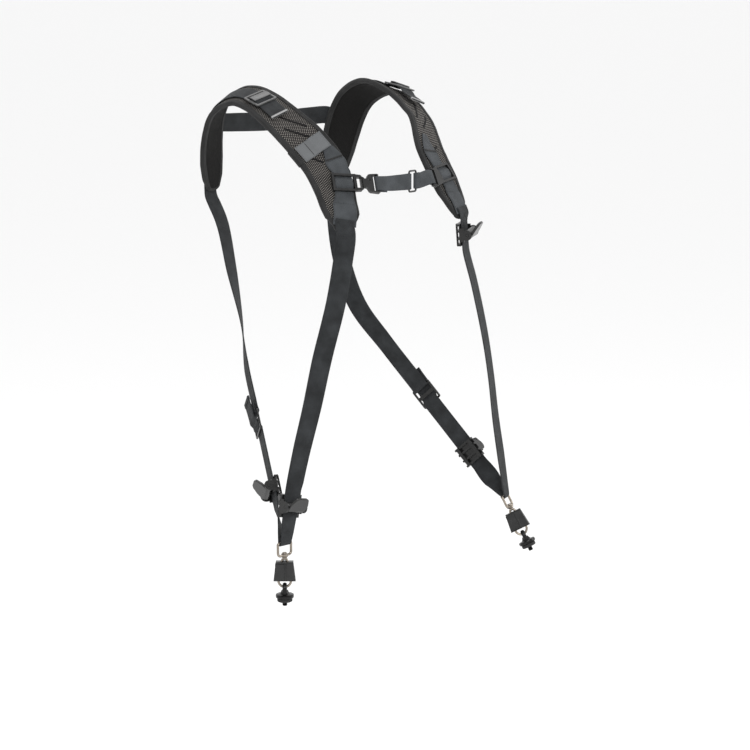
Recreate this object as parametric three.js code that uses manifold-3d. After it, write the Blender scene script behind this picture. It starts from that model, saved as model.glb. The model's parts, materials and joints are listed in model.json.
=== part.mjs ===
// Dual camera harness: two padded shoulder straps, a webbing sling with a hanging
// connector on each side, and a chest strap. Millimetres, +Z up, the wearer faces -Y,
// and the wearer's left is +X. The origin is in the mid plane at the height of the shoulders.

import * as THREE from 'three';
import { mergeVertices } from 'three/addons/utils/BufferGeometryUtils.js';
import Module from 'manifold-3d';

// Driving dimensions of the worn form
const shoulderSpan = 224;
const frontDepth = 120;
const backDepth = 150;
const padDrop = 147;
const slingSpan = 376;
const slingDrop = 531;
const backSpan = 206;
const waistDrop = 335;

// Driving dimensions of the soft parts
const padWidth = 56;
const padThickness = 6.6;
const bindingWidth = 4.6;
const bindingThickness = 6;
const webbingWidth = 25;
const webbingThickness = 1.6;
const padWebbingWidth = 30;
const sliderWebbingWidth = 25;
const chestWebbingWidth = 20;
const bunchedWidth = 17;
const tailLength = 24;
const lockTailLength = 25;
const lockLeadLength = 88;
const labelLength = 24;
const labelThickness = 1;

// Driving dimensions of the hard parts
const clearance = 0.3;
const eyeWire = 3.3;
const eyeInnerWidth = 18;
const eyeHeight = 18;
const hookWire = 3.2;
const hookWidth = 19;
const hookLength = 40;
const coverHeight = 25;
const coverTopWidth = 22;
const coverBottomWidth = 28;
const coverThickness = 11;
const flangeRadius = 11.5;
const flangeThickness = 5;
const washerRadius = 9.6;
const washerThickness = 5;
const studRadius = 3.175;
const studLength = 5.5;
const ladderLength = 30;
const ladderBar = 2.2;
const ladderWall = 3;
const ringLength = 15;
const ringBar = 2.4;
const camBaseHeight = 29;
const camRadius = 6.2;
const camPivotHeight = 8.2;
const camWall = 2;
const leverReach = 20;
const leverThickness = 3.4;
const sliderHeight = 24;
const sliderRail = 3;
const railThickness = 2.8;
const buckleReach = 63;
const buckleThickness = 6;

// Angles, in degrees
const eyeTilt = { right: 0, left: -28 };
const foldTurn = { right: -2, left: 28 };
const swivelTurn = { right: -42, left: -68 };
const lockPitch = { right: 2, left: 12 };
const leverAngle = 34;
const sliderTurn = 12;
const linkTurn = 24;

const wasm = await Module();
wasm.setup();
const harness = new THREE.Group();
const rad = THREE.MathUtils.degToRad;
const vec = (x, y, z) => new THREE.Vector3(x, y, z);
const half = webbingThickness / 2;

const paint = (color, roughness, metalness = 0) => ({ color, roughness, metalness });
const black = paint(0x17171a, 0.85);
const mesh = paint(0x2c2b28, 0.95);
const webbing = paint(0x1d1d21, 0.8);
const plastic = paint(0x202126, 0.45);
const steel = paint(0x8d8a84, 0.35, 1);
const rubber = paint(0x101011, 0.9);
const grey = paint(0x4a4b50, 0.7);

function addMesh(name, geometry, look, parent = harness) {
  const piece = new THREE.Mesh(geometry, new THREE.MeshStandardMaterial(look));
  piece.name = name;
  parent.add(piece);
  return piece;
}

// Closed meshes

function signedVolume(points, index) {
  let sum = 0;
  for (let i = 0; i < index.length; i += 3) {
    const [a, b, c] = [points[index[i]], points[index[i + 1]], points[index[i + 2]]];
    sum += a.dot(b.clone().cross(c));
  }
  return sum;
}

function closedGeometry(points, index) {
  const turned = signedVolume(points, index) < 0 ? index.slice().reverse() : index;
  const geometry = new THREE.BufferGeometry();
  geometry.setAttribute('position', new THREE.Float32BufferAttribute(points.flatMap((p) => p.toArray()), 3));
  geometry.setIndex(turned);
  return geometry;
}

// A row of like sections joined side by side, with flat ends or closed into a ring
function loft(sections, isRing = false) {
  const count = sections[0].length;
  const points = sections.flat();
  const index = [];
  const last = isRing ? sections.length : sections.length - 1;
  for (let i = 0; i < last; i += 1) {
    const near = i * count;
    const far = ((i + 1) % sections.length) * count;
    for (let j = 0; j < count; j += 1) {
      const next = (j + 1) % count;
      index.push(near + j, near + next, far + next, near + j, far + next, far + j);
    }
  }
  if (!isRing) {
    const end = (sections.length - 1) * count;
    for (let j = 1; j < count - 1; j += 1) {
      index.push(0, j + 1, j, end, end + j, end + j + 1);
    }
  }
  return closedGeometry(points, index);
}

function solidOf(geometry) {
  const bare = geometry.clone();
  bare.deleteAttribute('normal');
  bare.deleteAttribute('uv');
  const merged = mergeVertices(bare, 1e-4);
  return new wasm.Manifold(new wasm.Mesh({
    numProp: 3,
    vertProperties: new Float32Array(merged.attributes.position.array),
    triVerts: new Uint32Array(merged.index.array),
  }));
}

function geometryOf(solid) {
  const data = solid.getMesh();
  const geometry = new THREE.BufferGeometry();
  geometry.setAttribute('position', new THREE.Float32BufferAttribute(data.vertProperties, 3));
  geometry.setIndex(Array.from(data.triVerts));
  return geometry;
}

function join(geometries, cuts = []) {
  let solid = geometries.map(solidOf).reduce((whole, piece) => whole.add(piece));
  for (const cut of cuts) {
    solid = solid.subtract(solidOf(cut));
  }
  return geometryOf(solid);
}

function box(x0, x1, y0, y1, z0, z1) {
  const shape = new THREE.BoxGeometry(x1 - x0, y1 - y0, z1 - z0);
  return shape.translate((x0 + x1) / 2, (y0 + y1) / 2, (z0 + z1) / 2);
}

function rodAlongX(radius, x0, x1, y, z, sides = 16) {
  const rod = new THREE.CylinderGeometry(radius, radius, x1 - x0, sides);
  return rod.rotateZ(Math.PI / 2).translate((x0 + x1) / 2, y, z);
}

function rodAlongZ(radius, z0, z1, sides = 16) {
  const rod = new THREE.CylinderGeometry(radius, radius, z1 - z0, sides);
  return rod.rotateX(Math.PI / 2).translate(0, 0, (z0 + z1) / 2);
}

// A plate in the XY plane with an outline and holes, thick along Z and centred on it
function plate(outline, thickness, holes = [], bevel = 0) {
  const corners = outline.map(([x, y]) => new THREE.Vector2(x, y));
  const shape = new THREE.Shape(THREE.ShapeUtils.isClockWise(corners) ? corners.reverse() : corners);
  shape.holes = holes.map((hole) => new THREE.Path(hole.map(([x, y]) => new THREE.Vector2(x, y))));
  const geometry = new THREE.ExtrudeGeometry(shape, {
    depth: thickness - 2 * bevel,
    bevelEnabled: bevel > 0,
    bevelThickness: bevel,
    bevelSize: bevel,
    bevelOffset: -bevel,
    bevelSegments: 1,
  });
  return geometry.translate(0, 0, -thickness / 2 + bevel);
}

function roundedOutline(width, height, radius, cuts = 3) {
  const outline = [];
  const corners = [[1, 1], [-1, 1], [-1, -1], [1, -1]];
  corners.forEach(([sx, sy], corner) => {
    for (let i = 0; i <= cuts; i += 1) {
      const angle = (Math.PI / 2) * (corner + i / cuts);
      outline.push([
        sx * (width / 2 - radius) + radius * Math.cos(angle),
        sy * (height / 2 - radius) + radius * Math.sin(angle),
      ]);
    }
  });
  return outline;
}

// A wire along a closed route in the XZ plane
function wireRing(route, radius, sides = 8) {
  const sections = route.map((at, i) => {
    const before = route[(i + route.length - 1) % route.length];
    const after = route[(i + 1) % route.length];
    const run = after.clone().sub(before).normalize();
    const side = vec(0, 1, 0);
    const out = run.clone().cross(side);
    return Array.from({ length: sides }, (_, k) => {
      const angle = (2 * Math.PI * (k + 0.5)) / sides;
      const spot = at.clone().addScaledVector(side, radius * Math.cos(angle));
      return spot.addScaledVector(out, radius * Math.sin(angle));
    });
  });
  return loft(sections, true);
}

// Webbing is a flat band along a row of stations, each with a place, a width and either the
// direction that it faces or, where it turns back on itself, the direction across it
function band(stations, thickness = webbingThickness) {
  const sections = stations.map((station, i) => {
    const before = stations[Math.max(i - 1, 0)].at;
    const after = stations[Math.min(i + 1, stations.length - 1)].at;
    const run = after.clone().sub(before).normalize();
    const across = (station.across ?? run.clone().cross(station.face)).clone().normalize();
    const normal = across.clone().cross(run).normalize();
    const w = station.width / 2;
    const t = thickness / 2;
    return [[-w, -t], [w, -t], [w, t], [-w, t]].map(([x, z]) => (
      station.at.clone().addScaledVector(across, x).addScaledVector(normal, z)
    ));
  });
  return loft(sections);
}

function facing(azimuth, pitch = 0) {
  return vec(
    Math.sin(rad(azimuth)) * Math.cos(rad(pitch)),
    -Math.cos(rad(azimuth)) * Math.cos(rad(pitch)),
    Math.sin(rad(pitch)),
  );
}

// The pad's centre line, from its front end over the shoulder to its rear end. Places are shares
// of half the shoulder span, of the front or back depth, and of the pad's drop below the shoulder.
// Width is a share of the pad's width, yaw turns the band in plan and bank drops its outer edge.
const padRows = [
  { across: 0.863, ahead: 0.955, height: -0.955, width: 0.46, yaw: 20, bank: 2 },
  { across: 0.841, ahead: 0.913, height: -0.87, width: 0.8, yaw: 18, bank: 5 },
  { across: 0.826, ahead: 0.829, height: -0.772, width: 0.9, yaw: 13, bank: 4 },
  { across: 0.81, ahead: 0.742, height: -0.653, width: 0.975, yaw: 13, bank: 3 },
  { across: 0.813, ahead: 0.542, height: -0.435, width: 1.05, yaw: 17, bank: 4 },
  { across: 0.897, ahead: 0.346, height: -0.259, width: 1.0, yaw: 21, bank: 8 },
  { across: 0.942, ahead: 0.233, height: -0.18, width: 0.97, yaw: 21, bank: 11 },
  { across: 0.969, ahead: 0.092, height: -0.105, width: 0.96, yaw: 17, bank: 12 },
  { across: 0.991, ahead: -0.047, height: -0.034, width: 0.95, yaw: 13, bank: 13 },
  { across: 1.0, ahead: -0.187, height: 0.027, width: 0.94, yaw: 9, bank: 15 },
  { across: 1.009, ahead: -0.4, height: 0.075, width: 0.92, yaw: 1, bank: 20 },
  { across: 1.027, ahead: -0.54, height: 0.06, width: 0.93, yaw: -5, bank: 25 },
  { across: 1.025, ahead: -0.673, height: 0.01, width: 0.93, yaw: -14, bank: 25 },
  { across: 1.018, ahead: -0.793, height: -0.075, width: 0.93, yaw: -24, bank: 18 },
  { across: 1.005, ahead: -0.88, height: -0.204, width: 0.93, yaw: -28, bank: 9 },
  { across: 0.982, ahead: -0.94, height: -0.374, width: 0.92, yaw: -25, bank: 3 },
  { across: 0.955, ahead: -0.973, height: -0.544, width: 0.86, yaw: -21, bank: 0 },
  { across: 0.932, ahead: -0.987, height: -0.69, width: 0.7, yaw: -18, bank: 0 },
  { across: 0.92, ahead: -0.993, height: -0.77, width: 0.46, yaw: -16, bank: 0 },
];

const forward = (share) => -share * (share > 0 ? frontDepth : backDepth);
const padLine = new THREE.CatmullRomCurve3(padRows.map((row) => (
  vec((row.across * shoulderSpan) / 2, forward(row.ahead), row.height * padDrop)
)));
const padLength = padLine.getLength();

function padColumn(share, column) {
  const place = padLine.getUtoTmapping(THREE.MathUtils.clamp(share, 0, 1)) * (padRows.length - 1);
  const row = Math.min(Math.floor(place), padRows.length - 2);
  return THREE.MathUtils.lerp(padRows[row][column], padRows[row + 1][column], place - row);
}

// The pad's frame at a share of its length: across points outward from the neck
function padFrame(share) {
  const at = padLine.getPointAt(THREE.MathUtils.clamp(share, 0, 1));
  const run = padLine.getTangentAt(THREE.MathUtils.clamp(share, 0, 1));
  const yaw = rad(padColumn(share, 'yaw'));
  const bank = rad(padColumn(share, 'bank'));
  const across = vec(Math.cos(yaw) * Math.cos(bank), Math.sin(yaw) * Math.cos(bank), -Math.sin(bank));
  across.addScaledVector(run, -across.dot(run)).normalize();
  const normal = across.clone().cross(run).normalize();
  return { at, run, across, normal, half: (padColumn(share, 'width') * padWidth) / 2 };
}

// A point on the pad: side runs from -1 at the neck edge to 1 at the arm edge
const padTop = padThickness / 2;
function padPoint(share, side, lift) {
  const { at, across, normal, half: reach } = padFrame(share);
  return at.clone().addScaledVector(across, side * reach).addScaledVector(normal, padTop + lift);
}

function padStation(share, side, lift, width) {
  return { at: padPoint(share, side, lift), face: padFrame(share).normal, width };
}

const steps = (from, to, count) => (
  Array.from({ length: count + 1 }, (_, i) => from + ((to - from) * i) / count)
);

const padSteps = 30;
function padBody() {
  const inset = bindingWidth + 2 * clearance;
  const endShare = bindingWidth / padLength / 2;
  const taper = 14 / padLength;
  const sections = steps(endShare, 1 - endShare, padSteps).map((share) => {
    const { at, across, normal, half: reach } = padFrame(share);
    const toEnd = Math.min(share - endShare, 1 - endShare - share) / taper;
    const round = 0.5 + 0.5 * Math.sqrt(Math.min(toEnd, 1));
    const w = (reach - inset) * round;
    const outline = [[-1, -0.46], [1, -0.46], [1, 0.42], [0.72, 0.5], [-0.72, 0.5], [-1, 0.42]];
    return outline.map(([x, z]) => (
      at.clone().addScaledVector(across, x * w).addScaledVector(normal, z * padThickness)
    ));
  });
  return loft(sections);
}

// The tape round the pad's edge, one closed ring
function padBinding() {
  const w = bindingWidth / 2;
  const t = bindingThickness / 2;
  const outline = [[-1, -1], [0.3, -1], [1, -0.5], [1, 0.5], [0.3, 1], [-1, 1]];
  const section = (at, out, normal) => outline.map(([x, z]) => (
    at.clone().addScaledVector(out, x * w).addScaledVector(normal, z * t)
  ));
  const shares = steps(0, 1, padSteps);
  const edge = (share, side) => {
    const { at, across, normal, half: reach } = padFrame(share);
    const place = at.clone().addScaledVector(across, side * (reach - w));
    return section(place, across.clone().multiplyScalar(side), normal);
  };
  const end = (share, startSide) => {
    const { at, run, across, normal, half: reach } = padFrame(share);
    const outRun = run.clone().multiplyScalar(share > 0.5 ? 1 : -1);
    return steps(0, 180, 6).slice(1, -1).map((angle) => {
      const c = Math.cos(rad(angle)) * startSide;
      const s = Math.sin(rad(angle));
      const place = at.clone().addScaledVector(across, c * (reach - w));
      const out = across.clone().multiplyScalar(c).addScaledVector(outRun, s).normalize();
      return section(place.addScaledVector(outRun, s * bindingWidth), out, normal);
    });
  };
  return loft([
    ...shares.map((share) => edge(share, 1)),
    ...end(1, 1),
    ...shares.slice().reverse().map((share) => edge(share, -1)),
    ...end(0, -1),
  ], true);
}

// Places along the pad, as shares of its length
const padPlace = { slider: 0.132, stitch: 0.205, point: 0.266, label: 0.271, lock: 0.51 };
const padSide = {
  right: { slider: -0.46, stitch: -0.5, point: -0.55 },
  left: { slider: -0.1, stitch: -0.32, point: -0.42 },
  lock: 0.06,
};
const webbingLift = clearance * 1.6 + half;
const sliderWebbingLift = 2 * clearance + ladderBar + half;
const slingLift = webbingLift + webbingThickness + 2.4 * clearance;

// The webbing on the pad runs straight through its slider, at the slider's slant
function padWebbing(side) {
  const slider = padPlace.slider;
  const step = (length) => length / padLength;
  const straight = step(sliderHeight / 2 + 2);
  const slant = (Math.tan(rad(sliderTurn)) * padLength) / padFrame(slider).half;
  const onPad = (share) => {
    const near = THREE.MathUtils.clamp(share - slider, -straight, straight);
    const above = (share - slider - straight) / (padPlace.stitch - slider - straight);
    const below = share / (slider - straight);
    const through = (padSide[side].slider - near * slant) * THREE.MathUtils.clamp(below, 0, 1);
    return THREE.MathUtils.lerp(through, padSide[side].stitch, THREE.MathUtils.clamp(above, 0, 1));
  };
  const widthAt = (share) => {
    const fromSlider = Math.abs(share - slider) * padLength;
    const away = THREE.MathUtils.clamp((fromSlider - sliderHeight / 2 - 6) / 8, 0, 1);
    const wide = THREE.MathUtils.lerp(sliderWebbingWidth, padWebbingWidth, away);
    const above = THREE.MathUtils.clamp((share - slider) / (padPlace.stitch - slider), 0, 1);
    return wide - above * 2;
  };
  const railEdge = step(sliderHeight / 2 - sliderRail - 1);
  const barEdge = step(ladderBar + 1.2);
  const bulge = [
    [slider - railEdge, 0], [slider - barEdge, 1], [slider + barEdge, 1], [slider + railEdge, 0],
  ];
  const plain = [
    ...steps(-step(2), bulge[0][0] - step(3), 8),
    ...steps(bulge[3][0] + step(3), padPlace.stitch, 6),
  ].map((share) => [share, 0]);
  const rows = [...plain, ...bulge].sort((a, b) => a[0] - b[0]);
  const lower = rows.map(([share, high]) => (
    padStation(share, onPad(share), high ? sliderWebbingLift : webbingLift, widthAt(share))
  ));
  const pointed = steps(padPlace.stitch, padPlace.point, 4).slice(1).map((share) => {
    const along = (share - padPlace.stitch) / (padPlace.point - padPlace.stitch);
    const place = THREE.MathUtils.lerp(padSide[side].stitch, padSide[side].point, along);
    return padStation(share, place, webbingLift, widthAt(share) * (1 - 0.7 * along));
  });
  return band([...lower, ...pointed], webbingThickness);
}

function padLabel() {
  const reach = [-0.72, -0.5, -0.3, -0.12, 0.1, 0.3, 0.5, 0.72];
  const { normal } = padFrame(padPlace.label);
  const stations = reach.map((side) => {
    const overWebbing = side < 0.05 ? 1 : 0;
    const lift = clearance + labelThickness / 2 + overWebbing * (webbingThickness + 2 * clearance) + 0.35;
    return { at: padPoint(padPlace.label, side, lift), face: normal, width: labelLength };
  });
  return band(stations, labelThickness);
}

// The sling: down the front, round the swivel eye and up the back to the adjuster
const foldRadius = eyeWire / 2 + clearance + half;
const foldAt = vec(slingSpan / 2, -0.9 * frontDepth, -slingDrop);
const hipAt = vec((slingSpan / 2) * 0.628, 0.413 * backDepth, -waistDrop);
const frontRows = [
  { across: 0.527, ahead: 1.02, height: 0.035, turn: 28 },
  { across: 0.542, ahead: 1.0, height: 0.11, turn: 32 },
  { across: 0.617, ahead: 1.025, height: 0.245, turn: 32 },
  { across: 0.729, ahead: 1.008, height: 0.427, turn: 32 },
  { across: 0.803, ahead: 0.9875, height: 0.577, turn: 32 },
  { across: 0.878, ahead: 0.942, height: 0.733, turn: 30 },
  { across: 0.942, ahead: 0.925, height: 0.87, turn: 28 },
];
const rearTurn = 114;

function sideSling(side) {
  const fold = foldTurn[side];
  const frontOut = facing(fold);
  const blend = side === 'left' ? 0 : 1;
  const span = slingDrop - padDrop;
  const rows = frontRows.map((row) => {
    const late = Math.max(0, (row.height - 0.35) / 0.65) * blend;
    return {
      at: vec((row.across * slingSpan) / 2, forward(row.ahead), -padDrop - row.height * span + 8),
      face: facing(THREE.MathUtils.lerp(row.turn, fold, late)),
      width: webbingWidth,
    };
  });
  const arc = steps(0, 180, 6).map((angle) => {
    const out = frontOut.clone().multiplyScalar(Math.cos(rad(angle))).add(vec(0, 0, -Math.sin(rad(angle))));
    return { at: foldAt.clone().addScaledVector(out, foldRadius), face: out, width: bunchedWidth };
  });
  const sewn = [0.018, 0.0].map((share) => (
    padStation(share, (padSide[side].slider * share) / padPlace.slider, slingLift, webbingWidth)
  ));
  const over = foldAt.clone().addScaledVector(frontOut, foldRadius).add(vec(-3, 0, 14));
  const before = { at: over, face: frontOut, width: bunchedWidth + 3 };
  return { rows: [...sewn, ...rows, before], arc, fold };
}

// Smooth stations between a few chosen ones
function smooth(stations, count) {
  const line = new THREE.CatmullRomCurve3(stations.map((s) => s.at));
  return steps(0, 1, count).map((share) => {
    const place = line.getUtoTmapping(share) * (stations.length - 1);
    const row = Math.min(Math.floor(place), stations.length - 2);
    const mix = place - row;
    const face = stations[row].face.clone().lerp(stations[row + 1].face, mix).normalize();
    const width = THREE.MathUtils.lerp(stations[row].width, stations[row + 1].width, mix);
    return { at: line.getPointAt(share), face, width };
  });
}

// The front strap runs straight and flat through its cam lock
const frontCamDrop = { right: 485, left: 165 };
function frontStrap(side) {
  const { rows } = sideSling(side);
  const stations = smooth(rows, 44);
  const low = -frontCamDrop[side];
  const at = stations.findIndex((station) => station.at.z < low);
  const share = (stations[at - 1].at.z - low) / (stations[at - 1].at.z - stations[at].at.z);
  const centre = stations[at - 1].at.clone().lerp(stations[at].at, share);
  const run = stations[at - 3].at.clone().sub(stations[at + 3].at).normalize();
  const across = run.clone().cross(stations[at].face).normalize();
  const normal = across.clone().cross(run).normalize();
  const reach = camBaseHeight * 0.85;
  for (const station of stations) {
    const along = station.at.clone().sub(centre).dot(run);
    if (Math.abs(along) < reach) {
      station.at = centre.clone().addScaledVector(run, along);
      station.face = normal;
    }
  }
  return { stations, matrix: frameMatrix(centre, across, run, normal) };
}

// The rear leg is straight, so that the cam lock and the adjuster sit square on it
const legRun = hipAt.clone().sub(foldAt).normalize();
const legLength = hipAt.distanceTo(foldAt);
const legPlace = { cam: 0.28, adjuster: 0.65 };

function legStation(share, fold, width = webbingWidth) {
  const twist = Math.min(1, share / (legPlace.cam - 0.08));
  const turn = THREE.MathUtils.lerp(fold + 180, rearTurn, twist);
  return { at: foldAt.clone().addScaledVector(legRun, share * legLength), face: facing(turn), width };
}

// Ladder lock: a frame with three bars across, in the XY plane with the webbing along Y
const ladderBase = webbingThickness / 2 + clearance;
function ladderLock(width) {
  const outer = roundedOutline(width + 2 * (ladderWall + clearance), ladderLength, 2.5);
  const slotWidth = width + 2 * clearance;
  const slotLength = (ladderLength - 2 * ladderWall - 5) / 2;
  const slot = (y) => [
    [-slotWidth / 2, y - slotLength / 2],
    [slotWidth / 2, y - slotLength / 2],
    [slotWidth / 2, y + slotLength / 2],
    [-slotWidth / 2, y + slotLength / 2],
  ];
  const offset = (slotLength + 5) / 2;
  const frame = plate(outer, ladderBar, [slot(offset), slot(-offset)], 0.5);
  return frame.translate(0, 0, ladderBase + ladderBar / 2);
}

function frameMatrix(at, x, y, z) {
  return new THREE.Matrix4().makeBasis(x, y, z).setPosition(at);
}

// The shoulder lock and the webbing through it
const overBar = ladderBase + ladderBar + clearance + half;
function shoulderLock(side) {
  const { run, across, normal } = padFrame(padPlace.lock);
  const seat = padPoint(padPlace.lock, padSide.lock, webbingLift);
  const ahead = run.clone().negate();
  const matrix = frameMatrix(seat, across.clone().negate(), ahead, normal);
  const hinge = -ladderLength / 2 + ladderWall / 2;
  const pitch = new THREE.Matrix4().makeTranslation(0, hinge, 0)
    .multiply(new THREE.Matrix4().makeRotationX(rad(lockPitch[side])))
    .multiply(new THREE.Matrix4().makeTranslation(0, -hinge, 0));
  return matrix.multiply(pitch);
}

function lockWebbing(side) {
  const matrix = shoulderLock(side);
  const up = vec(0, 0, 1).transformDirection(matrix);
  const through = [
    [-13.4, 0], [-10.6, 0], [-4.6, overBar], [0, overBar + 0.2], [4.6, overBar], [10.6, 0], [14, 0],
  ];
  const inLock = through.map(([y, z]) => ({
    at: vec(0, y, z).applyMatrix4(matrix), face: up, width: webbingWidth,
  })).reverse();
  const lead = steps(0.05, 1, 12).map((along) => {
    const share = padPlace.lock + (ladderLength / 2 + 4 + along * lockLeadLength) / padLength;
    return padStation(share, padSide.lock * (1 - along), webbingLift, webbingWidth);
  });
  const stand = side === 'left' ? 0.16 : 0.03;
  const tail = steps(0, 1, 4).slice(1).map((along) => {
    const start = ladderLength / 2;
    const share = padPlace.lock - (start + along * lockTailLength) / padLength;
    const lift = webbingLift + 0.8 + stand * (start + along * lockTailLength);
    return padStation(share, padSide.lock, lift, webbingWidth);
  }).reverse();
  return band([...tail, ...inLock, ...lead], webbingThickness);
}

// The adjuster on the rear leg, and the two webbings that meet in it
function adjusterMatrix(fold) {
  const { at, face } = legStation(legPlace.adjuster, fold);
  const across = legRun.clone().cross(face).normalize();
  const normal = across.clone().cross(legRun).normalize();
  return frameMatrix(at, across, legRun, normal);
}

function slingWebbing(side) {
  const { arc, fold } = sideSling(side);
  const matrix = adjusterMatrix(fold);
  const up = vec(0, 0, 1).transformDirection(matrix);
  const lower = frontStrap(side).stations;
  const toAdjuster = legPlace.adjuster - (ladderLength / 2 + 3) / legLength;
  const leg = steps(0.07, toAdjuster, 16).map((share) => (
    legStation(share, fold, Math.min(webbingWidth, bunchedWidth + 70 * share))
  ));
  const high = overBar + webbingThickness + 4 * clearance;
  const through = [
    [-14, 0], [-10.6, 0], [-4.6, overBar], [0, overBar + 0.2], [5, high + 0.3], [12, high + 0.6],
  ];
  const tailEnd = [0.35, 0.7, 1].map((along) => [12 + along * tailLength, high + 0.6 + 1.5 * along]);
  const top = [...through, ...tailEnd].map(([y, z]) => ({
    at: vec(0, y, z).applyMatrix4(matrix), face: up, width: webbingWidth,
  }));
  return band([...lower, ...arc, ...leg, ...top], webbingThickness);
}

const backRows = [
  { across: 0.93, ahead: -0.93, height: 0.22, turn: 165 },
  { across: 0.905, ahead: -0.82, height: 0.5, turn: 160 },
  { across: 0.96, ahead: -0.64, height: 0.78, turn: 138 },
];

// Half a turn of webbing round a bar, from its outer face to its inner one
function turnRound(centre, radius, out, ahead, across, width) {
  return steps(0, 180, 6).map((angle) => {
    const at = centre.clone().addScaledVector(out, radius * Math.cos(rad(angle)));
    return { at: at.addScaledVector(ahead, radius * Math.sin(rad(angle))), across, width };
  });
}

function rearWebbing(side) {
  const fold = foldTurn[side];
  const matrix = adjusterMatrix(fold);
  const out = vec(0, 0, 1).transformDirection(matrix);
  const across = vec(1, 0, 0).transformDirection(matrix);
  const bar = ladderLength / 2 - ladderWall / 2;
  const radius = Math.hypot(ladderBar, ladderWall) / 2 + clearance + half;
  const centre = vec(0, bar, ladderBase + ladderBar / 2).applyMatrix4(matrix);
  const turn = turnRound(centre, radius, out, legRun.clone().negate(), across, webbingWidth);
  const sewn = [13, 4].map((length) => {
    const at = centre.clone().addScaledVector(out, radius).addScaledVector(legRun, length);
    return { at, across, width: webbingWidth };
  });
  const legLow = legStation(legPlace.adjuster + (ladderLength / 2 + 4) / legLength, fold);
  const legEnd = legStation(0.98, fold);
  const back = backRows.map((row) => ({
    at: vec(
      (row.across * backSpan) / 2,
      forward(row.ahead),
      THREE.MathUtils.lerp(-padDrop * 0.77, -waistDrop, row.height),
    ),
    face: facing(row.turn),
    width: webbingWidth,
  }));
  const start = [0.9, 0.94, 0.97, 1].map((share) => padStation(share, 0, webbingLift, webbingWidth));
  const low = { ...start[3], at: start[3].at.clone().add(vec(0, 0, -10)) };
  const hanging = smooth([legLow, legEnd, ...back.reverse(), low, start[3]], 24).slice(0, -1);
  return band([...sewn, ...turn, ...hanging, ...start.reverse()]);
}

// Cam lock: webbing along Y at the origin, the lever on +Z
const camHalf = webbingWidth / 2 + 2 * clearance;
const camOuter = camHalf + clearance + camWall;
const pinRadius = 1.9;
function camBase() {
  const plateTop = -half - clearance;
  const plateThickness = 1.6;
  const rungDepth = 3.6;
  const railDepth = 1.3;
  const h = camBaseHeight / 2;
  const pieces = [box(-camOuter, camOuter, -h, h, plateTop - plateThickness, plateTop)];
  for (const y of [-h + 1.4, -h / 3, h / 3, h - 1.4]) {
    const rungLow = plateTop - plateThickness - rungDepth;
    pieces.push(box(-camOuter, camOuter, y - 1.4, y + 1.4, rungLow, plateTop - 0.5));
  }
  const railTop = plateTop - plateThickness - rungDepth;
  for (const side of [-1, 1]) {
    const x0 = Math.min(side * camOuter * 0.55, side * camOuter * 0.85);
    const x1 = Math.max(side * camOuter * 0.55, side * camOuter * 0.85);
    pieces.push(box(x0, x1, -h, h, railTop - railDepth + 0.2, railTop + 0.2));
    const wall = side * (camHalf + clearance);
    const xa = Math.min(wall, wall + side * camWall);
    const xb = Math.max(wall, wall + side * camWall);
    pieces.push(box(xa, xb, -h * 0.62, h * 0.62, plateTop - 0.4, camPivotHeight * 0.45));
    pieces.push(rodAlongX(h * 0.5, xa, xb, 0, camPivotHeight - 1.4, 16));
  }
  const bore = rodAlongX(pinRadius + clearance, -camOuter - 1, camOuter + 1, 0, camPivotHeight, 12);
  return join(pieces, [bore]);
}

function camLever() {
  const lobe = rodAlongX(camRadius, -camHalf, camHalf, 0.2, camPivotHeight - 0.55, 16);
  const pin = rodAlongX(pinRadius, -camOuter, camOuter, 0, camPivotHeight, 12);
  const outline = [
    [-camHalf, -2], [camHalf, -2], [camHalf, leverReach * 0.45], [camHalf * 0.7, leverReach * 0.9],
    [camHalf * 0.4, leverReach], [-camHalf * 0.4, leverReach], [-camHalf * 0.7, leverReach * 0.9],
    [-camHalf, leverReach * 0.45],
  ];
  const tab = plate(outline, leverThickness, [], 0.6);
  tab.translate(0, 0, camRadius - leverThickness / 2);
  tab.rotateX(rad(leverAngle));
  tab.translate(0, 0, camPivotHeight - 0.4);
  return join([lobe, pin, tab]);
}

// Swivel eye: hangs on the webbing fold from its top bar, in the XZ plane
const eyeBottom = -eyeHeight + eyeWire / 2;
function swivelEye() {
  const w = (eyeInnerWidth + eyeWire) / 2;
  const corner = 4;
  const route = [
    vec(-w + 1, 0, 0), vec(-w / 2, 0, 0), vec(w / 2, 0, 0), vec(w - 1, 0, 0), vec(w, 0, -1.2),
    vec(w, 0, eyeBottom + corner + 2),
    vec(w - 1, 0, eyeBottom + 2), vec(w - corner, 0, eyeBottom),
    vec(-w + corner, 0, eyeBottom), vec(-w + 1, 0, eyeBottom + 2),
    vec(-w, 0, eyeBottom + corner + 2), vec(-w, 0, -1.2),
  ];
  const ring = wireRing(route, eyeWire / 2);
  const boss = rodAlongZ(4.2, eyeBottom - 2.2, eyeBottom + 2.4, 14);
  const bore = rodAlongZ(hookWire / 2 + 0.3, eyeBottom - 5, eyeBottom + 5, 10);
  return join([ring, boss], [bore]);
}

// Snap hook: swivel pin on top, then a wire loop that widens downward
const hookTop = eyeBottom - 2.2 - clearance;
const hookEnd = hookTop - hookLength;
function hookHalfWidth(z) {
  const along = THREE.MathUtils.clamp((hookTop - hookWire - z) / (hookLength * 0.7), 0, 1);
  return THREE.MathUtils.lerp(3.2, (hookWidth - hookWire) / 2, along);
}

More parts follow.
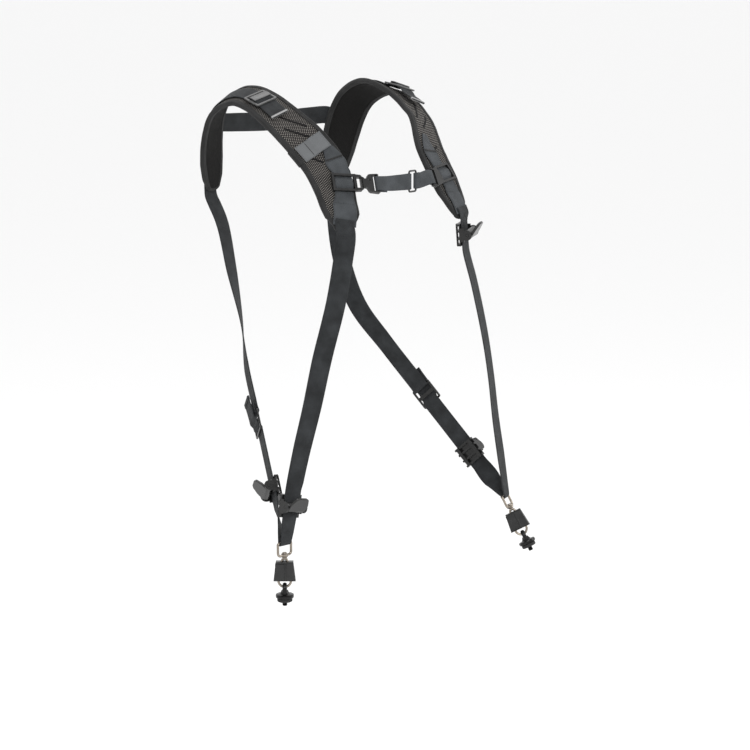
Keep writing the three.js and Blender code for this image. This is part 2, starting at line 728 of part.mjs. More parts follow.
function snapHook() {
  const r = hookWire / 2;
  const w = (hookWidth - hookWire) / 2;
  const bendZ = hookEnd + r + w;
  const top = hookTop - r - 0.4;
  const shoulder = top - 3.2;
  const side = steps(shoulder, bendZ, 5).map((z) => vec(hookHalfWidth(z), 0, z));
  const bend = steps(0, 180, 6).slice(1, -1).map((angle) => (
    vec(w * Math.cos(rad(angle)), 0, bendZ - w * Math.sin(rad(angle)))
  ));
  const other = side.slice().reverse().map((p) => vec(-p.x, 0, p.z));
  const ring = wireRing([vec(-1.6, 0, top), vec(1.6, 0, top), ...side, ...bend, ...other], r);
  const pin = rodAlongZ(r - 0.05, top, eyeBottom + 3.4, 10);
  const head = rodAlongZ(3, eyeBottom + 2.4 + clearance, eyeBottom + 4.2, 12);
  const collar = rodAlongZ(3, hookTop - 2.4, hookTop, 12);
  return join([ring, pin, head, collar]);
}

function lockCover() {
  const top = hookTop - 5.2;
  const bottom = top - coverHeight;
  const trapezoid = (topHalf, bottomHalf, z0, z1) => [
    [-bottomHalf, z1], [bottomHalf, z1], [topHalf, z0], [-topHalf, z0],
  ];
  const outline = trapezoid(coverTopWidth / 2, coverBottomWidth / 2, top, bottom);
  const upright = (geometry) => geometry.rotateX(Math.PI / 2);
  const block = upright(plate(outline, coverThickness, [], 1.2));
  const slack = hookWire / 2 + clearance;
  const slotTop = top + 2;
  const slotBottom = bottom - 2;
  const slotTopHalf = hookHalfWidth(slotTop) + slack;
  const slotBottomHalf = hookHalfWidth(slotBottom) + slack;
  const slot = upright(plate(trapezoid(slotTopHalf, slotBottomHalf, slotTop, slotBottom), 2 * slack));
  const raised = (left, right, height) => box(
    coverBottomWidth * left, coverBottomWidth * right, -coverThickness / 2 - height, 0, bottom + 2.2, top - 2.5,
  );
  const panel = raised(-0.42, -0.02, 1.4);
  const ridge = raised(0.02, 0.1, 0.7);
  return join([block, panel, ridge], [slot]);
}

// Stud fitting: an eye through the hook's loop, a flange and a tripod screw
const studEyeWire = 1.8;
const hookInside = hookEnd + hookWire;
const studEyeTop = hookInside + clearance + 2 * studEyeWire;
const studEyeBottom = hookInside - hookWire - 6;
const flangeTop = studEyeBottom - 1.2;
const coneTop = studEyeBottom + 3.6;
function studFitting() {
  const w = 5.4;
  const top = studEyeTop - studEyeWire;
  const route = [
    ...steps(0, 180, 6).map((angle) => vec(w * Math.cos(rad(angle)), 0, top - w + w * Math.sin(rad(angle)))),
    vec(-w - 1, 0, studEyeBottom), vec(w + 1, 0, studEyeBottom),
  ];
  const eye = wireRing(route, studEyeWire).rotateZ(Math.PI / 2);
  const profile = [
    [0, coneTop], [4.2, coneTop], [6.6, flangeTop], [flangeRadius - 0.8, flangeTop - 0.6],
    [flangeRadius, flangeTop - 1.4], [flangeRadius, flangeTop - flangeThickness + 0.5],
    [flangeRadius - 0.6, flangeTop - flangeThickness], [studRadius, flangeTop - flangeThickness],
    [studRadius, flangeTop - flangeThickness - washerThickness - studLength + 0.6],
    [studRadius - 0.6, flangeTop - flangeThickness - washerThickness - studLength],
    [0, flangeTop - flangeThickness - washerThickness - studLength],
  ];
  return join([eye, lathe(profile, 20)]);
}

function lathe(profile, sides) {
  const turned = new THREE.LatheGeometry(profile.map(([r, z]) => new THREE.Vector2(r, z)).reverse(), sides);
  return turned.rotateX(Math.PI / 2);
}

const washerTop = flangeTop - flangeThickness - clearance;
function studWasher() {
  const inner = studRadius + clearance;
  const low = washerTop - washerThickness + clearance;
  return lathe([
    [inner, washerTop], [washerRadius, washerTop], [washerRadius, low + 1], [washerRadius - 1, low],
    [inner, low], [inner, washerTop],
  ], 20);
}

// Chest strap. The line runs from the slider on the wearer's right to the one on the left.
function sliderFrame(side) {
  const mirror = side === 'left' ? 1 : -1;
  const { run, normal } = padFrame(padPlace.slider);
  const at = padPoint(padPlace.slider, padSide[side].slider, 0);
  const flip = (v) => vec(v.x * mirror, v.y, v.z);
  const up = flip(run);
  const out = flip(normal);
  const upright = frameMatrix(flip(at), up.clone().cross(out), up, out);
  return upright.multiply(new THREE.Matrix4().makeRotationZ(mirror * rad(sliderTurn)));
}

// Slider: two rails over the pad's webbing and a bar behind it, from x0 to x1 across
const postX = sliderWebbingWidth / 2 + 2 * clearance;
const sliderOuter = postX + 2.8;
const railBase = webbingLift + half + 2 * clearance;
const buckleMiddle = 1.4 * clearance + buckleThickness / 2;
function sliderPieces() {
  const y = sliderHeight / 2;
  const top = railBase + railThickness;
  const pieces = [box(-sliderOuter, sliderOuter, -ladderBar, ladderBar, clearance, clearance + ladderBar)];
  for (const s of [-1, 1]) {
    const y0 = Math.min(s * y, s * (y - sliderRail));
    pieces.push(box(-sliderOuter, sliderOuter, y0, y0 + sliderRail, railBase, top));
    const x0 = Math.min(s * postX, s * sliderOuter);
    pieces.push(box(x0, x0 + sliderOuter - postX, -y, y, railBase - 0.9, top));
    pieces.push(box(x0, x0 + sliderOuter - postX, -ladderBar, ladderBar, clearance, railBase));
  }
  return pieces;
}

const jointX = sliderOuter + 8;
const plugEnd = buckleReach - sliderOuter;
const barRadius = ringBar / 2;
const barInset = barRadius + 1.4;
const barY = chestWebbingWidth / 2 + 2;
const barGap = barY - 0.8;
const sliderReach = sliderOuter + 20;
const strapLead = 3;

function crossBar(x, z) {
  return rodAlongX(barRadius, -barY - 1, barY + 1, 0, 0, 12).rotateZ(Math.PI / 2).translate(x, 0, z);
}

function window(x0, x1, y) {
  return [[x0, y], [x1, y], [x1, -y], [x0, -y]];
}

function buckleSocket() {
  const pieces = sliderPieces();
  const y = sliderHeight / 2;
  const outline = [
    [sliderOuter - 0.8, y - 0.6], [jointX - 1.5, y - 1.2], [jointX, y - 2.6], [jointX, -y + 2.6],
    [jointX - 1.5, -y + 1.2], [sliderOuter - 0.8, -y + 0.6],
  ];
  const neck = plate(outline, buckleThickness, [window(sliderOuter + 0.6, jointX - 1.8, 7.4)], 0.6);
  return join([...pieces, neck.translate(0, 0, buckleMiddle)]);
}

function bucklePlug() {
  const y = sliderHeight / 2;
  const x0 = jointX + clearance;
  const x1 = plugEnd;
  const upper = [
    [x0, y - 3.4], [x0 + 2, y - 4.4], [x0 + 3.6, y - 6.2], [x0 + 6, y - 5.4],
    [x0 + 8, y - 1], [x0 + 10, y + 0.4], [x1 - 2, barY + 1.4], [x1, barY + 0.2],
  ];
  const outline = [...upper, ...upper.slice().reverse().map(([a, b]) => [a, -b])];
  const hole = [[x1 - 15, 6.4], [x1 - 12.4, 5.6], [x1 - 11.8, 2.4], [x1 - 14, 3]];
  const body = plate(outline, buckleThickness, [hole], 0.6).translate(0, 0, buckleMiddle);
  const gap = box(x1 - 6.4, x1 + 1, -barGap, barGap, -buckleThickness, 2 * buckleThickness);
  const groove = box(x1 - 9.6, x1, -barGap, barGap, buckleMiddle - 1.2, 2 * buckleThickness);
  return join([join([body], [gap, groove]), crossBar(x1 - barInset, buckleMiddle)]);
}

// The far end of the wearer's left slider is turned, so that its bar stands square to the strap
const linkFrame = new THREE.Matrix4().makeTranslation(-sliderReach + barInset, 0, 0)
  .multiply(new THREE.Matrix4().makeRotationZ(-rad(linkTurn)));
function chestSlider() {
  const y = sliderHeight / 2;
  const corners = [[4, barY + 1.4], [-barInset, barY], [-barInset, -barY], [4, -barY - 1.4]];
  const end = corners.map(([ahead, high]) => {
    const corner = vec(ahead, high, 0).applyMatrix4(linkFrame);
    return [corner.x, corner.y];
  });
  const outline = [[-sliderOuter + 0.8, y - 0.4], ...end, [-sliderOuter + 0.8, -y + 0.4]];
  const body = plate(outline, buckleThickness, [], 0.6).translate(0, 0, buckleMiddle);
  const gap = box(-barInset - 1, barInset + 3.2, -barGap, barGap, -buckleThickness, 2 * buckleThickness);
  const bar = crossBar(0, buckleMiddle).applyMatrix4(linkFrame);
  return join([...sliderPieces(), join([body], [gap.applyMatrix4(linkFrame)]), bar]);
}

// The ring in the chest strap stands upright in the middle of the strap's bow
const ringAt = vec(21, -109, -93);
const chestBow = 3;
const ringOut = vec(0.12, -0.99, 0).normalize();
const ringMatrix = frameMatrix(ringAt, vec(0, 0, 1).cross(ringOut), vec(0, 0, 1), ringOut);
function chestRing() {
  const w = (ringLength - ringBar) / 2;
  const h = barY + barRadius;
  const corner = 1.6;
  const route = [
    [w, -h + corner], [w, h - corner], [w - corner, h], [-w + corner, h],
    [-w, h - corner], [-w, -h + corner], [-w + corner, -h], [w - corner, -h],
  ].map(([x, y]) => vec(x, 0, y));
  return wireRing(route, barRadius).rotateX(-Math.PI / 2);
}

function barOf(matrix, x, z) {
  return {
    centre: vec(x, 0, z).applyMatrix4(matrix),
    ahead: vec(1, 0, 0).transformDirection(matrix),
    up: vec(0, 1, 0).transformDirection(matrix),
    out: vec(0, 0, 1).transformDirection(matrix),
  };
}

// Webbing that is doubled round a bar at each end, with its long layer in front
function strapBetween(from, to, middle, doubled) {
  const radius = barRadius + clearance + half;
  const width = chestWebbingWidth;
  const first = turnRound(from.centre, radius, from.out, from.ahead.clone().negate(), from.up, width).reverse();
  const last = turnRound(to.centre, radius, to.out, to.ahead, to.up, width);
  const under = (bar, sign) => [0.3, 1].map((share) => {
    const at = bar.centre.clone().addScaledVector(bar.out, -radius);
    return { at: at.addScaledVector(bar.ahead, sign * share * doubled), across: bar.up, width };
  });
  const lead = (bar, sign) => ({
    at: bar.centre.clone().addScaledVector(bar.out, radius).addScaledVector(bar.ahead, sign * strapLead),
    across: bar.up,
    width,
  });
  const long = middle.map((at, i) => ({
    at, across: from.up.clone().lerp(to.up, (i + 1) / (middle.length + 1)).normalize(), width,
  }));
  const face = [lead(from, 1), ...long, lead(to, -1)];
  return band([...under(from, 1).reverse(), ...first, ...face, ...last, ...under(to, -1)]);
}

// Assembly

function mirrored(geometry) {
  const turned = geometry.clone().scale(-1, 1, 1);
  const index = Array.from(turned.index.array);
  turned.setIndex(index.reverse());
  return turned;
}

function bakeSide(name, side, geometry, look) {
  return addMesh(`${name}_${side}`, side === 'left' ? geometry : mirrored(geometry), look);
}

function indexed(geometry) {
  const bare = geometry.clone();
  bare.deleteAttribute('normal');
  bare.deleteAttribute('uv');
  return mergeVertices(bare, 1e-4);
}

// A plain webbing between the pads behind the neck
function backLink() {
  const share = 0.82;
  const across = [[0.35, 0], [-0.2, 0], [-0.8, 0.3], [-1.06, 0.8]];
  const onPad = across.map(([place, lift]) => padStation(share, place, webbingLift + lift, webbingWidth));
  const flip = (station) => ({
    ...station,
    at: station.at.clone().multiply(vec(-1, 1, 1)),
    face: station.face.clone().multiply(vec(-1, 1, 1)),
  });
  const edge = onPad[onPad.length - 1];
  const middle = { at: vec(0, edge.at.y + 10, edge.at.z - 4), face: facing(180), width: webbingWidth };
  const near = {
    at: edge.at.clone().lerp(middle.at, 0.3).add(vec(0, 3, 0)),
    face: edge.face.clone().lerp(middle.face, 0.5),
    width: webbingWidth,
  };
  const halfWay = [...onPad, near];
  return band([...halfWay, middle, ...halfWay.map(flip).reverse()]);
}

for (const side of ['right', 'left']) {
  const fold = foldTurn[side];
  bakeSide('shoulder_pad', side, padBody(), mesh);
  bakeSide('pad_binding', side, padBinding(), black);
  bakeSide('pad_webbing', side, padWebbing(side), webbing);
  bakeSide('sling_webbing', side, slingWebbing(side), webbing);
  bakeSide('rear_webbing', side, rearWebbing(side), webbing);
  bakeSide('lock_webbing', side, lockWebbing(side), webbing);
  const ladder = indexed(ladderLock(webbingWidth));
  bakeSide('shoulder_lock', side, ladder.clone().applyMatrix4(shoulderLock(side)), plastic);
  bakeSide('rear_adjuster', side, ladder.clone().applyMatrix4(adjusterMatrix(fold)), plastic);

  const { at, face } = legStation(legPlace.cam, fold);
  const across = legRun.clone().cross(face).normalize();
  const rearCam = frameMatrix(at, across, legRun, across.clone().cross(legRun).normalize());
  for (const [place, matrix] of [['front', frontStrap(side).matrix], ['rear', rearCam]]) {
    bakeSide(`${place}_lock_base`, side, camBase().applyMatrix4(matrix), plastic);
    bakeSide(`${place}_lock_lever`, side, camLever().applyMatrix4(matrix), plastic);
  }

  // Connector: eye, hook and stud fitting hang one below the other
  const mirror = side === 'left' ? 1 : -1;
  const onFold = new THREE.Group();
  onFold.position.set(mirror * foldAt.x, foldAt.y, foldAt.z);
  onFold.rotation.z = mirror * rad(fold);
  const swing = new THREE.Group();
  swing.rotation.x = rad(eyeTilt[side]);
  const swivel = new THREE.Group();
  swivel.rotation.z = rad(swivelTurn[side]);
  harness.add(onFold);
  onFold.add(swing);
  swing.add(swivel);
  addMesh(`swivel_eye_${side}`, swivelEye(), steel, swing);
  addMesh(`snap_hook_${side}`, snapHook(), steel, swivel);
  addMesh(`lock_cover_${side}`, lockCover(), plastic, swivel);
  addMesh(`stud_fitting_${side}`, studFitting(), black, swivel);
  addMesh(`stud_washer_${side}`, studWasher(), rubber, swivel);
}

const rightSlider = sliderFrame('right');
const leftSlider = sliderFrame('left');
addMesh('chest_buckle_socket', buckleSocket().applyMatrix4(rightSlider), plastic);
addMesh('chest_buckle_plug', bucklePlug().applyMatrix4(rightSlider), plastic);
addMesh('chest_slider', chestSlider().applyMatrix4(leftSlider), plastic);
addMesh('chest_ring', indexed(chestRing()).applyMatrix4(ringMatrix), plastic);
const plugBar = barOf(rightSlider, plugEnd - barInset, buckleMiddle);
const sliderBar = barOf(leftSlider.clone().multiply(linkFrame), 0, buckleMiddle);
const ringX = (ringLength - ringBar) / 2;
const ringLeft = barOf(ringMatrix, -ringX, 0);
const ringRight = barOf(ringMatrix, ringX, 0);
const bow = [0.3, 0.5, 0.7].map((share) => (
  plugBar.centre.clone().lerp(ringLeft.centre, share).add(vec(0, -4 * chestBow * share * (1 - share), 0))
));
addMesh('chest_webbing', strapBetween(plugBar, ringLeft, bow, 13), webbing);
addMesh('chest_link_webbing', strapBetween(ringRight, sliderBar, [], 9), webbing);
addMesh('pad_label', mirrored(padLabel()), grey);
addMesh('back_link', backLink(), webbing);

export default harness;
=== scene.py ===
# The dressed harness: padded mesh shoulder straps with taped edges, woven webbing with its
# stitching, moulded buckles and locks, and the two metal connectors. Shapes are worked out in
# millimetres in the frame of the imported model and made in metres.

import json
import math
from bisect import bisect_right

import bmesh
import bpy
from mathutils import Matrix, Vector, noise


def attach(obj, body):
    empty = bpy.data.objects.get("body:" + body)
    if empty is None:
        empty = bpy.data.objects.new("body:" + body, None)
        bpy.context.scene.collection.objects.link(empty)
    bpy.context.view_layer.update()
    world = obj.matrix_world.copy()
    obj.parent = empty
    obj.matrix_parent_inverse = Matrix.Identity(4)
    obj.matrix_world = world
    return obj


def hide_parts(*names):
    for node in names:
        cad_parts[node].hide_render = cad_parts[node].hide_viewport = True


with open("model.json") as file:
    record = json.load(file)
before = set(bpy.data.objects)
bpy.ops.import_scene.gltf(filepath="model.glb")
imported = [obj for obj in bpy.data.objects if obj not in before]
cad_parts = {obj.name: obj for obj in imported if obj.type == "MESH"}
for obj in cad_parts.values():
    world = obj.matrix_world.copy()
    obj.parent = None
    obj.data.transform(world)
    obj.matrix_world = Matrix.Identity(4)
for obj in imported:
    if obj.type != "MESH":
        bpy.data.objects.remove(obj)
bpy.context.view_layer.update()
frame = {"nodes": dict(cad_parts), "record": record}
MM = 0.001
ROOT = "worn_harness"
BODY = {n: b for b, ns in frame["record"]["behaviour"]["bodies"].items() for n in ns}


def add_object(name, data):
    made = bpy.data.objects.new(name, data)
    bpy.context.scene.collection.objects.link(made)
    return made


def aim(thing, at, target):
    thing.location = at
    thing.rotation_mode = "QUATERNION"
    thing.rotation_quaternion = (Vector(target) - Vector(at)).to_track_quat("-Z", "Y")


# Camera, at the photograph's angle

camera_data = bpy.data.cameras.new("camera")
camera_data.lens = 120
camera_data.sensor_width = 36
camera = add_object("camera", camera_data)
aim(camera, (-2.0454, -2.4978, 0.2906), (-0.0256, -0.0907, -0.3407))
bpy.context.scene.camera = camera

# Sizes, as in the CAD

SHOULDER_SPAN, FRONT_DEPTH, BACK_DEPTH, PAD_DROP = 224, 120, 150, 147
SLING_SPAN, SLING_DROP, BACK_SPAN, WAIST_DROP = 376, 531, 206, 335
PAD_WIDTH, PAD_THICKNESS, BINDING_WIDTH = 56, 6.6, 4.6
WEBBING, THICK, PAD_WEBBING, BUNCHED, CHEST_WEBBING = 25, 1.6, 30, 17, 20
SLIDER_WEBBING, SLIDER_HEIGHT, SLIDER_RAIL = 25, 24, 3
TAIL, LOCK_TAIL, LOCK_LEAD = 24, 25, 88
LADDER_LENGTH, LADDER_BAR, LADDER_WALL = 30, 2.2, 3
EYE_WIRE, EYE_INNER, EYE_HEIGHT = 3.3, 18, 18
HOOK_WIRE, HOOK_WIDTH, HOOK_LENGTH = 3.2, 19, 40
CAM_HEIGHT = 29
BUCKLE_REACH, BUCKLE_THICKNESS = 63, 6
RING_LENGTH, RING_BAR = 15, 2.4
CLEAR = 0.3
HALF = THICK / 2
EYE_TILT = {"right": 0, "left": -28}
FOLD_TURN = {"right": -2, "left": 28}
SWIVEL_TURN = {"right": -42, "left": -68}
LOCK_PITCH = {"right": 2, "left": 12}
SLIDER_TURN, LINK_TURN = 12, 24
PLACE = {"slider": 0.132, "stitch": 0.205, "point": 0.266, "label": 0.271, "lock": 0.51, "back": 0.82}
SIDE = {
    "right": {"slider": -0.46, "stitch": -0.5, "point": -0.55},
    "left": {"slider": -0.1, "stitch": -0.32, "point": -0.42},
    "lock": 0.06,
}

LINE_STEPS = 200
rad = math.radians
MOULD_ANGLE = rad(31)


def mix(a, b, t):
    return a + (b - a) * t


def clamp(x, low=0.0, high=1.0):
    return max(low, min(high, x))


def steps(start, end, count):
    return [start + (end - start) * i / count for i in range(count + 1)]


def half_turn(count):
    """The cosine and sine of angles from 0 to 180 degrees."""
    return [(math.cos(rad(angle)), math.sin(rad(angle))) for angle in steps(0, 180, count)]


def scale_x(v, factor=-1):
    """A point or direction mirrored to the other side, or widened across."""
    return Vector((v.x * factor, v.y, v.z))


def lengths(points):
    """How far along its course each point lies."""
    out = [0.0]
    for a, b in zip(points, points[1:]):
        out.append(out[-1] + (b - a).length)
    return out


class Line:
    """A smooth line through points, read by share of its length."""

    def __init__(self, points):
        self.points = [Vector(p) for p in points]
        self.table = lengths([self.point(i / LINE_STEPS) for i in range(LINE_STEPS + 1)])
        self.length = self.table[-1]

    def point(self, t):
        p = self.points
        last = len(p) - 1
        place = last * t
        i = min(int(place), last - 1)
        w = place - i
        b, c = p[i], p[i + 1]
        a = p[i - 1] if i > 0 else b * 2 - c
        d = p[i + 2] if i + 2 <= last else c * 2 - b
        d0, d1, d2 = [math.sqrt((y - x).length) or 1.0 for x, y in ((a, b), (b, c), (c, d))]
        t1 = ((b - a) / d0 - (c - a) / (d0 + d1) + (c - b) / d1) * d1
        t2 = ((c - b) / d1 - (d - b) / (d1 + d2) + (d - c) / d2) * d1
        return b + t1 * w + (c * 3 - b * 3 - t1 * 2 - t2) * w * w + (b * 2 - c * 2 + t1 + t2) * w ** 3

    def place(self, share):
        target = clamp(share) * self.length
        i = min(max(bisect_right(self.table, target) - 1, 0), LINE_STEPS - 1)
        return (i + (target - self.table[i]) / (self.table[i + 1] - self.table[i])) / LINE_STEPS

    def at(self, share):
        return self.point(self.place(share))

    def run(self, share):
        t = self.place(share)
        return (self.point(min(t + 1e-4, 1)) - self.point(max(t - 1e-4, 0))).normalized()


def forward(share):
    return -share * (FRONT_DEPTH if share > 0 else BACK_DEPTH)


def facing(azimuth, pitch=0):
    a, p = rad(azimuth), rad(pitch)
    return Vector((math.sin(a) * math.cos(p), -math.cos(a) * math.cos(p), math.sin(p)))


# across, ahead, height, width, yaw, bank
PAD_ROWS = [
    (0.863, 0.955, -0.955, 0.46, 20, 2), (0.841, 0.913, -0.87, 0.8, 18, 5),
    (0.826, 0.829, -0.772, 0.9, 13, 4), (0.81, 0.742, -0.653, 0.975, 13, 3),
    (0.813, 0.542, -0.435, 1.05, 17, 4), (0.897, 0.346, -0.259, 1.0, 21, 8),
    (0.942, 0.233, -0.18, 0.97, 21, 11), (0.969, 0.092, -0.105, 0.96, 17, 12),
    (0.991, -0.047, -0.034, 0.95, 13, 13), (1.0, -0.187, 0.027, 0.94, 9, 15),
    (1.009, -0.4, 0.075, 0.92, 1, 20), (1.027, -0.54, 0.06, 0.93, -5, 25),
    (1.025, -0.673, 0.01, 0.93, -14, 25), (1.018, -0.793, -0.075, 0.93, -24, 18),
    (1.005, -0.88, -0.204, 0.93, -28, 9), (0.982, -0.94, -0.374, 0.92, -25, 3),
    (0.955, -0.973, -0.544, 0.86, -21, 0), (0.932, -0.987, -0.69, 0.7, -18, 0),
    (0.92, -0.993, -0.77, 0.46, -16, 0),
]
PAD = Line([(a * SHOULDER_SPAN / 2, forward(f), h * PAD_DROP) for a, f, h, *_ in PAD_ROWS])


def pad_frame(share):
    place = PAD.place(share) * (len(PAD_ROWS) - 1)
    row = min(int(place), len(PAD_ROWS) - 2)
    width, yaw, bank = [mix(PAD_ROWS[row][i], PAD_ROWS[row + 1][i], place - row) for i in (3, 4, 5)]
    run = PAD.run(share)
    y, b = rad(yaw), rad(bank)
    across = Vector((math.cos(y) * math.cos(b), math.sin(y) * math.cos(b), -math.sin(b)))
    across = (across - run * across.dot(run)).normalized()
    return PAD.at(share), run, across, across.cross(run).normalized(), width * PAD_WIDTH / 2


def pad_point(share, side, lift):
    at, _, across, normal, reach = pad_frame(share)
    return at + across * (side * reach) + normal * (PAD_THICKNESS / 2 + lift)


class Station:
    """A place along a webbing, with its width and the direction across it or the way that it faces."""

    def __init__(self, at, width=WEBBING, face=None, across=None):
        self.at, self.width, self.face, self.across = at, width, face, across


def pad_station(share, side, lift, width=WEBBING):
    return Station(pad_point(share, side, lift), width, face=pad_frame(share)[3])


# Making meshes

def make(name, verts, faces, uvs, side="left", material=None, sharp=40):
    """A mesh given in millimetres and for the left side; the right side gets its mirror image."""
    turn = -1 if side == "right" else 1
    mesh = bpy.data.meshes.new(name)
    points = [(v[0] * MM * turn, v[1] * MM, v[2] * MM) for v in verts]
    mesh.from_pydata(points, [], [tuple(f)[::turn] for f in faces])
    layer = mesh.uv_layers.new(name="weave")
    layer.data.foreach_set("uv", [c for loop in uvs for uv in loop[::turn] for c in uv])
    mesh.validate()
    mesh.shade_smooth()
    mesh.set_sharp_from_angle(angle=rad(sharp))
    mesh.materials.append(material)
    return add_object(name, mesh)


def sweep(sections, along, around, ring=False):
    """Sections joined side by side, closed all round, with uv along and around in metres."""
    count = len(sections[0])
    verts = [p for s in sections for p in s]
    faces, uvs = [], []
    last = len(sections) if ring else len(sections) - 1
    for i in range(last):
        near, far = i * count, ((i + 1) % len(sections)) * count
        for j in range(count):
            k = (j + 1) % count
            faces.append((near + j, near + k, far + k, far + j))
            a, b, c, d = along[i] * MM, along[i + 1] * MM, around[j] * MM, around[j + 1] * MM
            uvs.append([(a, c), (a, d), (b, d), (b, c)])
    if not ring:
        for start, order in ((0, -1), ((len(sections) - 1) * count, 1)):
            loop = [start + j for j in range(count)][::order]
            faces.append(tuple(loop))
            uvs.append([(along[0 if start == 0 else -1] * MM, around[j - start] * MM) for j in loop])
    return outward(verts, faces, uvs)


def outward(verts, faces, uvs):
    """Turns a closed mesh so that its faces look out."""
    volume = 0.0
    for f in faces:
        a = verts[f[0]]
        for i in range(1, len(f) - 1):
            volume += a.dot(verts[f[i]].cross(verts[f[i + 1]]))
    if volume < 0:
        return verts, [f[::-1] for f in faces], [u[::-1] for u in uvs]
    return verts, faces, uvs


def place(piece, body, slot, *nodes):
    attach(piece, body)
    if nodes:
        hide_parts(*nodes)
    return piece


# Materials

class Surface:
    """A material in the making, with short ways to add its nodes."""

    def __init__(self, name, **constants):
        self.material = bpy.data.materials.new(name)
        self.material.use_nodes = True
        self.tree = self.material.node_tree
        self.shader = self.tree.nodes["Principled BSDF"]
        self.fill(self.shader, {key.replace("_", " "): value for key, value in constants.items()})

    def fill(self, made, inputs):
        for key, value in inputs.items():
            if isinstance(value, bpy.types.NodeSocket):
                self.tree.links.new(value, made.inputs[key])
            else:
                made.inputs[key].default_value = value
        return made

    def node(self, kind, inputs=None, **settings):
        made = self.tree.nodes.new("ShaderNode" + kind)
        for key, value in settings.items():
            setattr(made, key, value)
        return self.fill(made, inputs or {})

    def maths(self, operation, *values):
        return self.node("Math", dict(enumerate(values)), operation=operation).outputs[0]

    def add(self, a, b):
        return self.maths("ADD", a, b)

    def times(self, a, b):
        return self.maths("MULTIPLY", a, b)

    def scaled(self, value, factor, offset):
        return self.maths("MULTIPLY_ADD", value, factor, offset)

    def blotches(self, scale, detail=3.0):
        source = self.node("TexCoord").outputs["Object"]
        return self.node("TexNoise", {"Vector": source, "Scale": scale, "Detail": detail}).outputs["Fac"]

    def weave(self):
        split = self.node("SeparateXYZ", {0: self.node("UVMap", uv_map="weave").outputs[0]})
        return split.outputs[0], split.outputs[1]

    def swing(self, value, pitch):
        """A sine of a length in metres, its pitch in millimetres."""
        return self.maths("SINE", self.times(value, 2 * math.pi / (pitch * MM)))

    def sine(self, value, pitch):
        """The same, from 0 to 1."""
        return self.scaled(self.swing(value, pitch), 0.5, 0.5)

    def finish(self, value, stops, roughness, height, strength, depth):
        """Colour by a ramp of the value, roughness, and relief with its depth in millimetres."""
        ramp = self.node("ValToRGB", {0: value})
        elements = ramp.color_ramp.elements
        while len(elements) < len(stops):
            elements.new(0.5)
        for element, (position, colour) in zip(elements, stops):
            element.position = position
            element.color = (*colour, 1)
        bump = self.node("Bump", {"Height": height, "Strength": strength, "Distance": depth * MM})
        inputs = {"Base Color": ramp.outputs[0], "Roughness": roughness, "Normal": bump.outputs[0]}
        self.fill(self.shader, inputs)
        return self.material


def grey(value, warm=0.0):
    return (value * (1 + warm), value, value * (1 - warm))


def woven(name, dark, light, rib=0.8, chevron=60, slant=0.0, rough=0.78, sheen=0.04, depth=0.1, warm=0.0):
    """Woven tape: ribs across it that zigzag in columns, with yarn noise."""
    made = Surface(name, Sheen_Weight=sheen, Sheen_Roughness=0.45, Specular_IOR_Level=0.2)
    u, v = made.weave()
    column = made.maths("PINGPONG", v, chevron * MM / 2)
    ribs = made.sine(made.add(u, made.times(column, slant)), rib)
    yarn = made.sine(v, 0.75)
    worn, fuzz = made.blotches(60), made.blotches(1500, 2)
    height = made.add(made.add(ribs, made.times(yarn, 0.35)), made.times(fuzz, 0.3))
    value = made.times(made.add(ribs, made.times(yarn, 0.3)), 0.55)
    value = made.add(value, made.times(made.maths("SUBTRACT", worn, 0.5), 0.9))
    stops = [(0.05, grey(dark, warm)), (0.9, grey(light, warm))]
    return made.finish(value, stops, made.scaled(fuzz, 0.2, rough - 0.1), height, 0.7, depth)


def spacer_mesh(name, dark, dot, pitch):
    """Open spacer mesh: rows of raised threads over a dark hollow ground."""
    made = Surface(name, Sheen_Weight=0.02, Sheen_Roughness=0.5, Specular_IOR_Level=0.15)
    u, v = made.weave()
    drift = made.scaled(made.blotches(90, 2), 0.0011, 0.0)
    along, across = [made.swing(made.add(way, drift), gap) for way, gap in zip((u, v), pitch)]
    threads = made.maths("MAXIMUM", made.times(along, across), 0.0)
    value = made.times(threads, made.add(made.blotches(45), 0.45))
    value = made.add(value, made.times(made.sine(u, 0.7), 0.04))
    stops = [(0.12, grey(dark, 0.05)), (0.38, grey(mix(dark, dot, 0.5), 0.06)), (0.8, grey(dot, 0.08))]
    return made.finish(value, stops, 0.85, threads, 0.9, 0.9)


def moulded_plastic(name, base, rough, spread=0.12, coat=0.0, **constants):
    made = Surface(name, Coat_Weight=coat, Coat_Roughness=0.3, Specular_IOR_Level=0.38, **constants)
    worn, grain = made.blotches(120, 4), made.blotches(2600, 2)
    stops = [(0.3, grey(base * 0.8)), (0.7, grey(base * 1.35))]
    return made.finish(worn, stops, made.scaled(worn, spread * 2, rough - spread), grain, 0.25, 0.06)


def polished(name, base):
    made = Surface(name, Metallic=1.0)
    worn, scratches = made.blotches(220, 5), made.blotches(1400, 2)
    stops = [(0.25, tuple(c * 0.72 for c in base)), (0.7, base)]
    return made.finish(worn, stops, made.scaled(scratches, 0.22, 0.08), scratches, 0.12, 0.03)


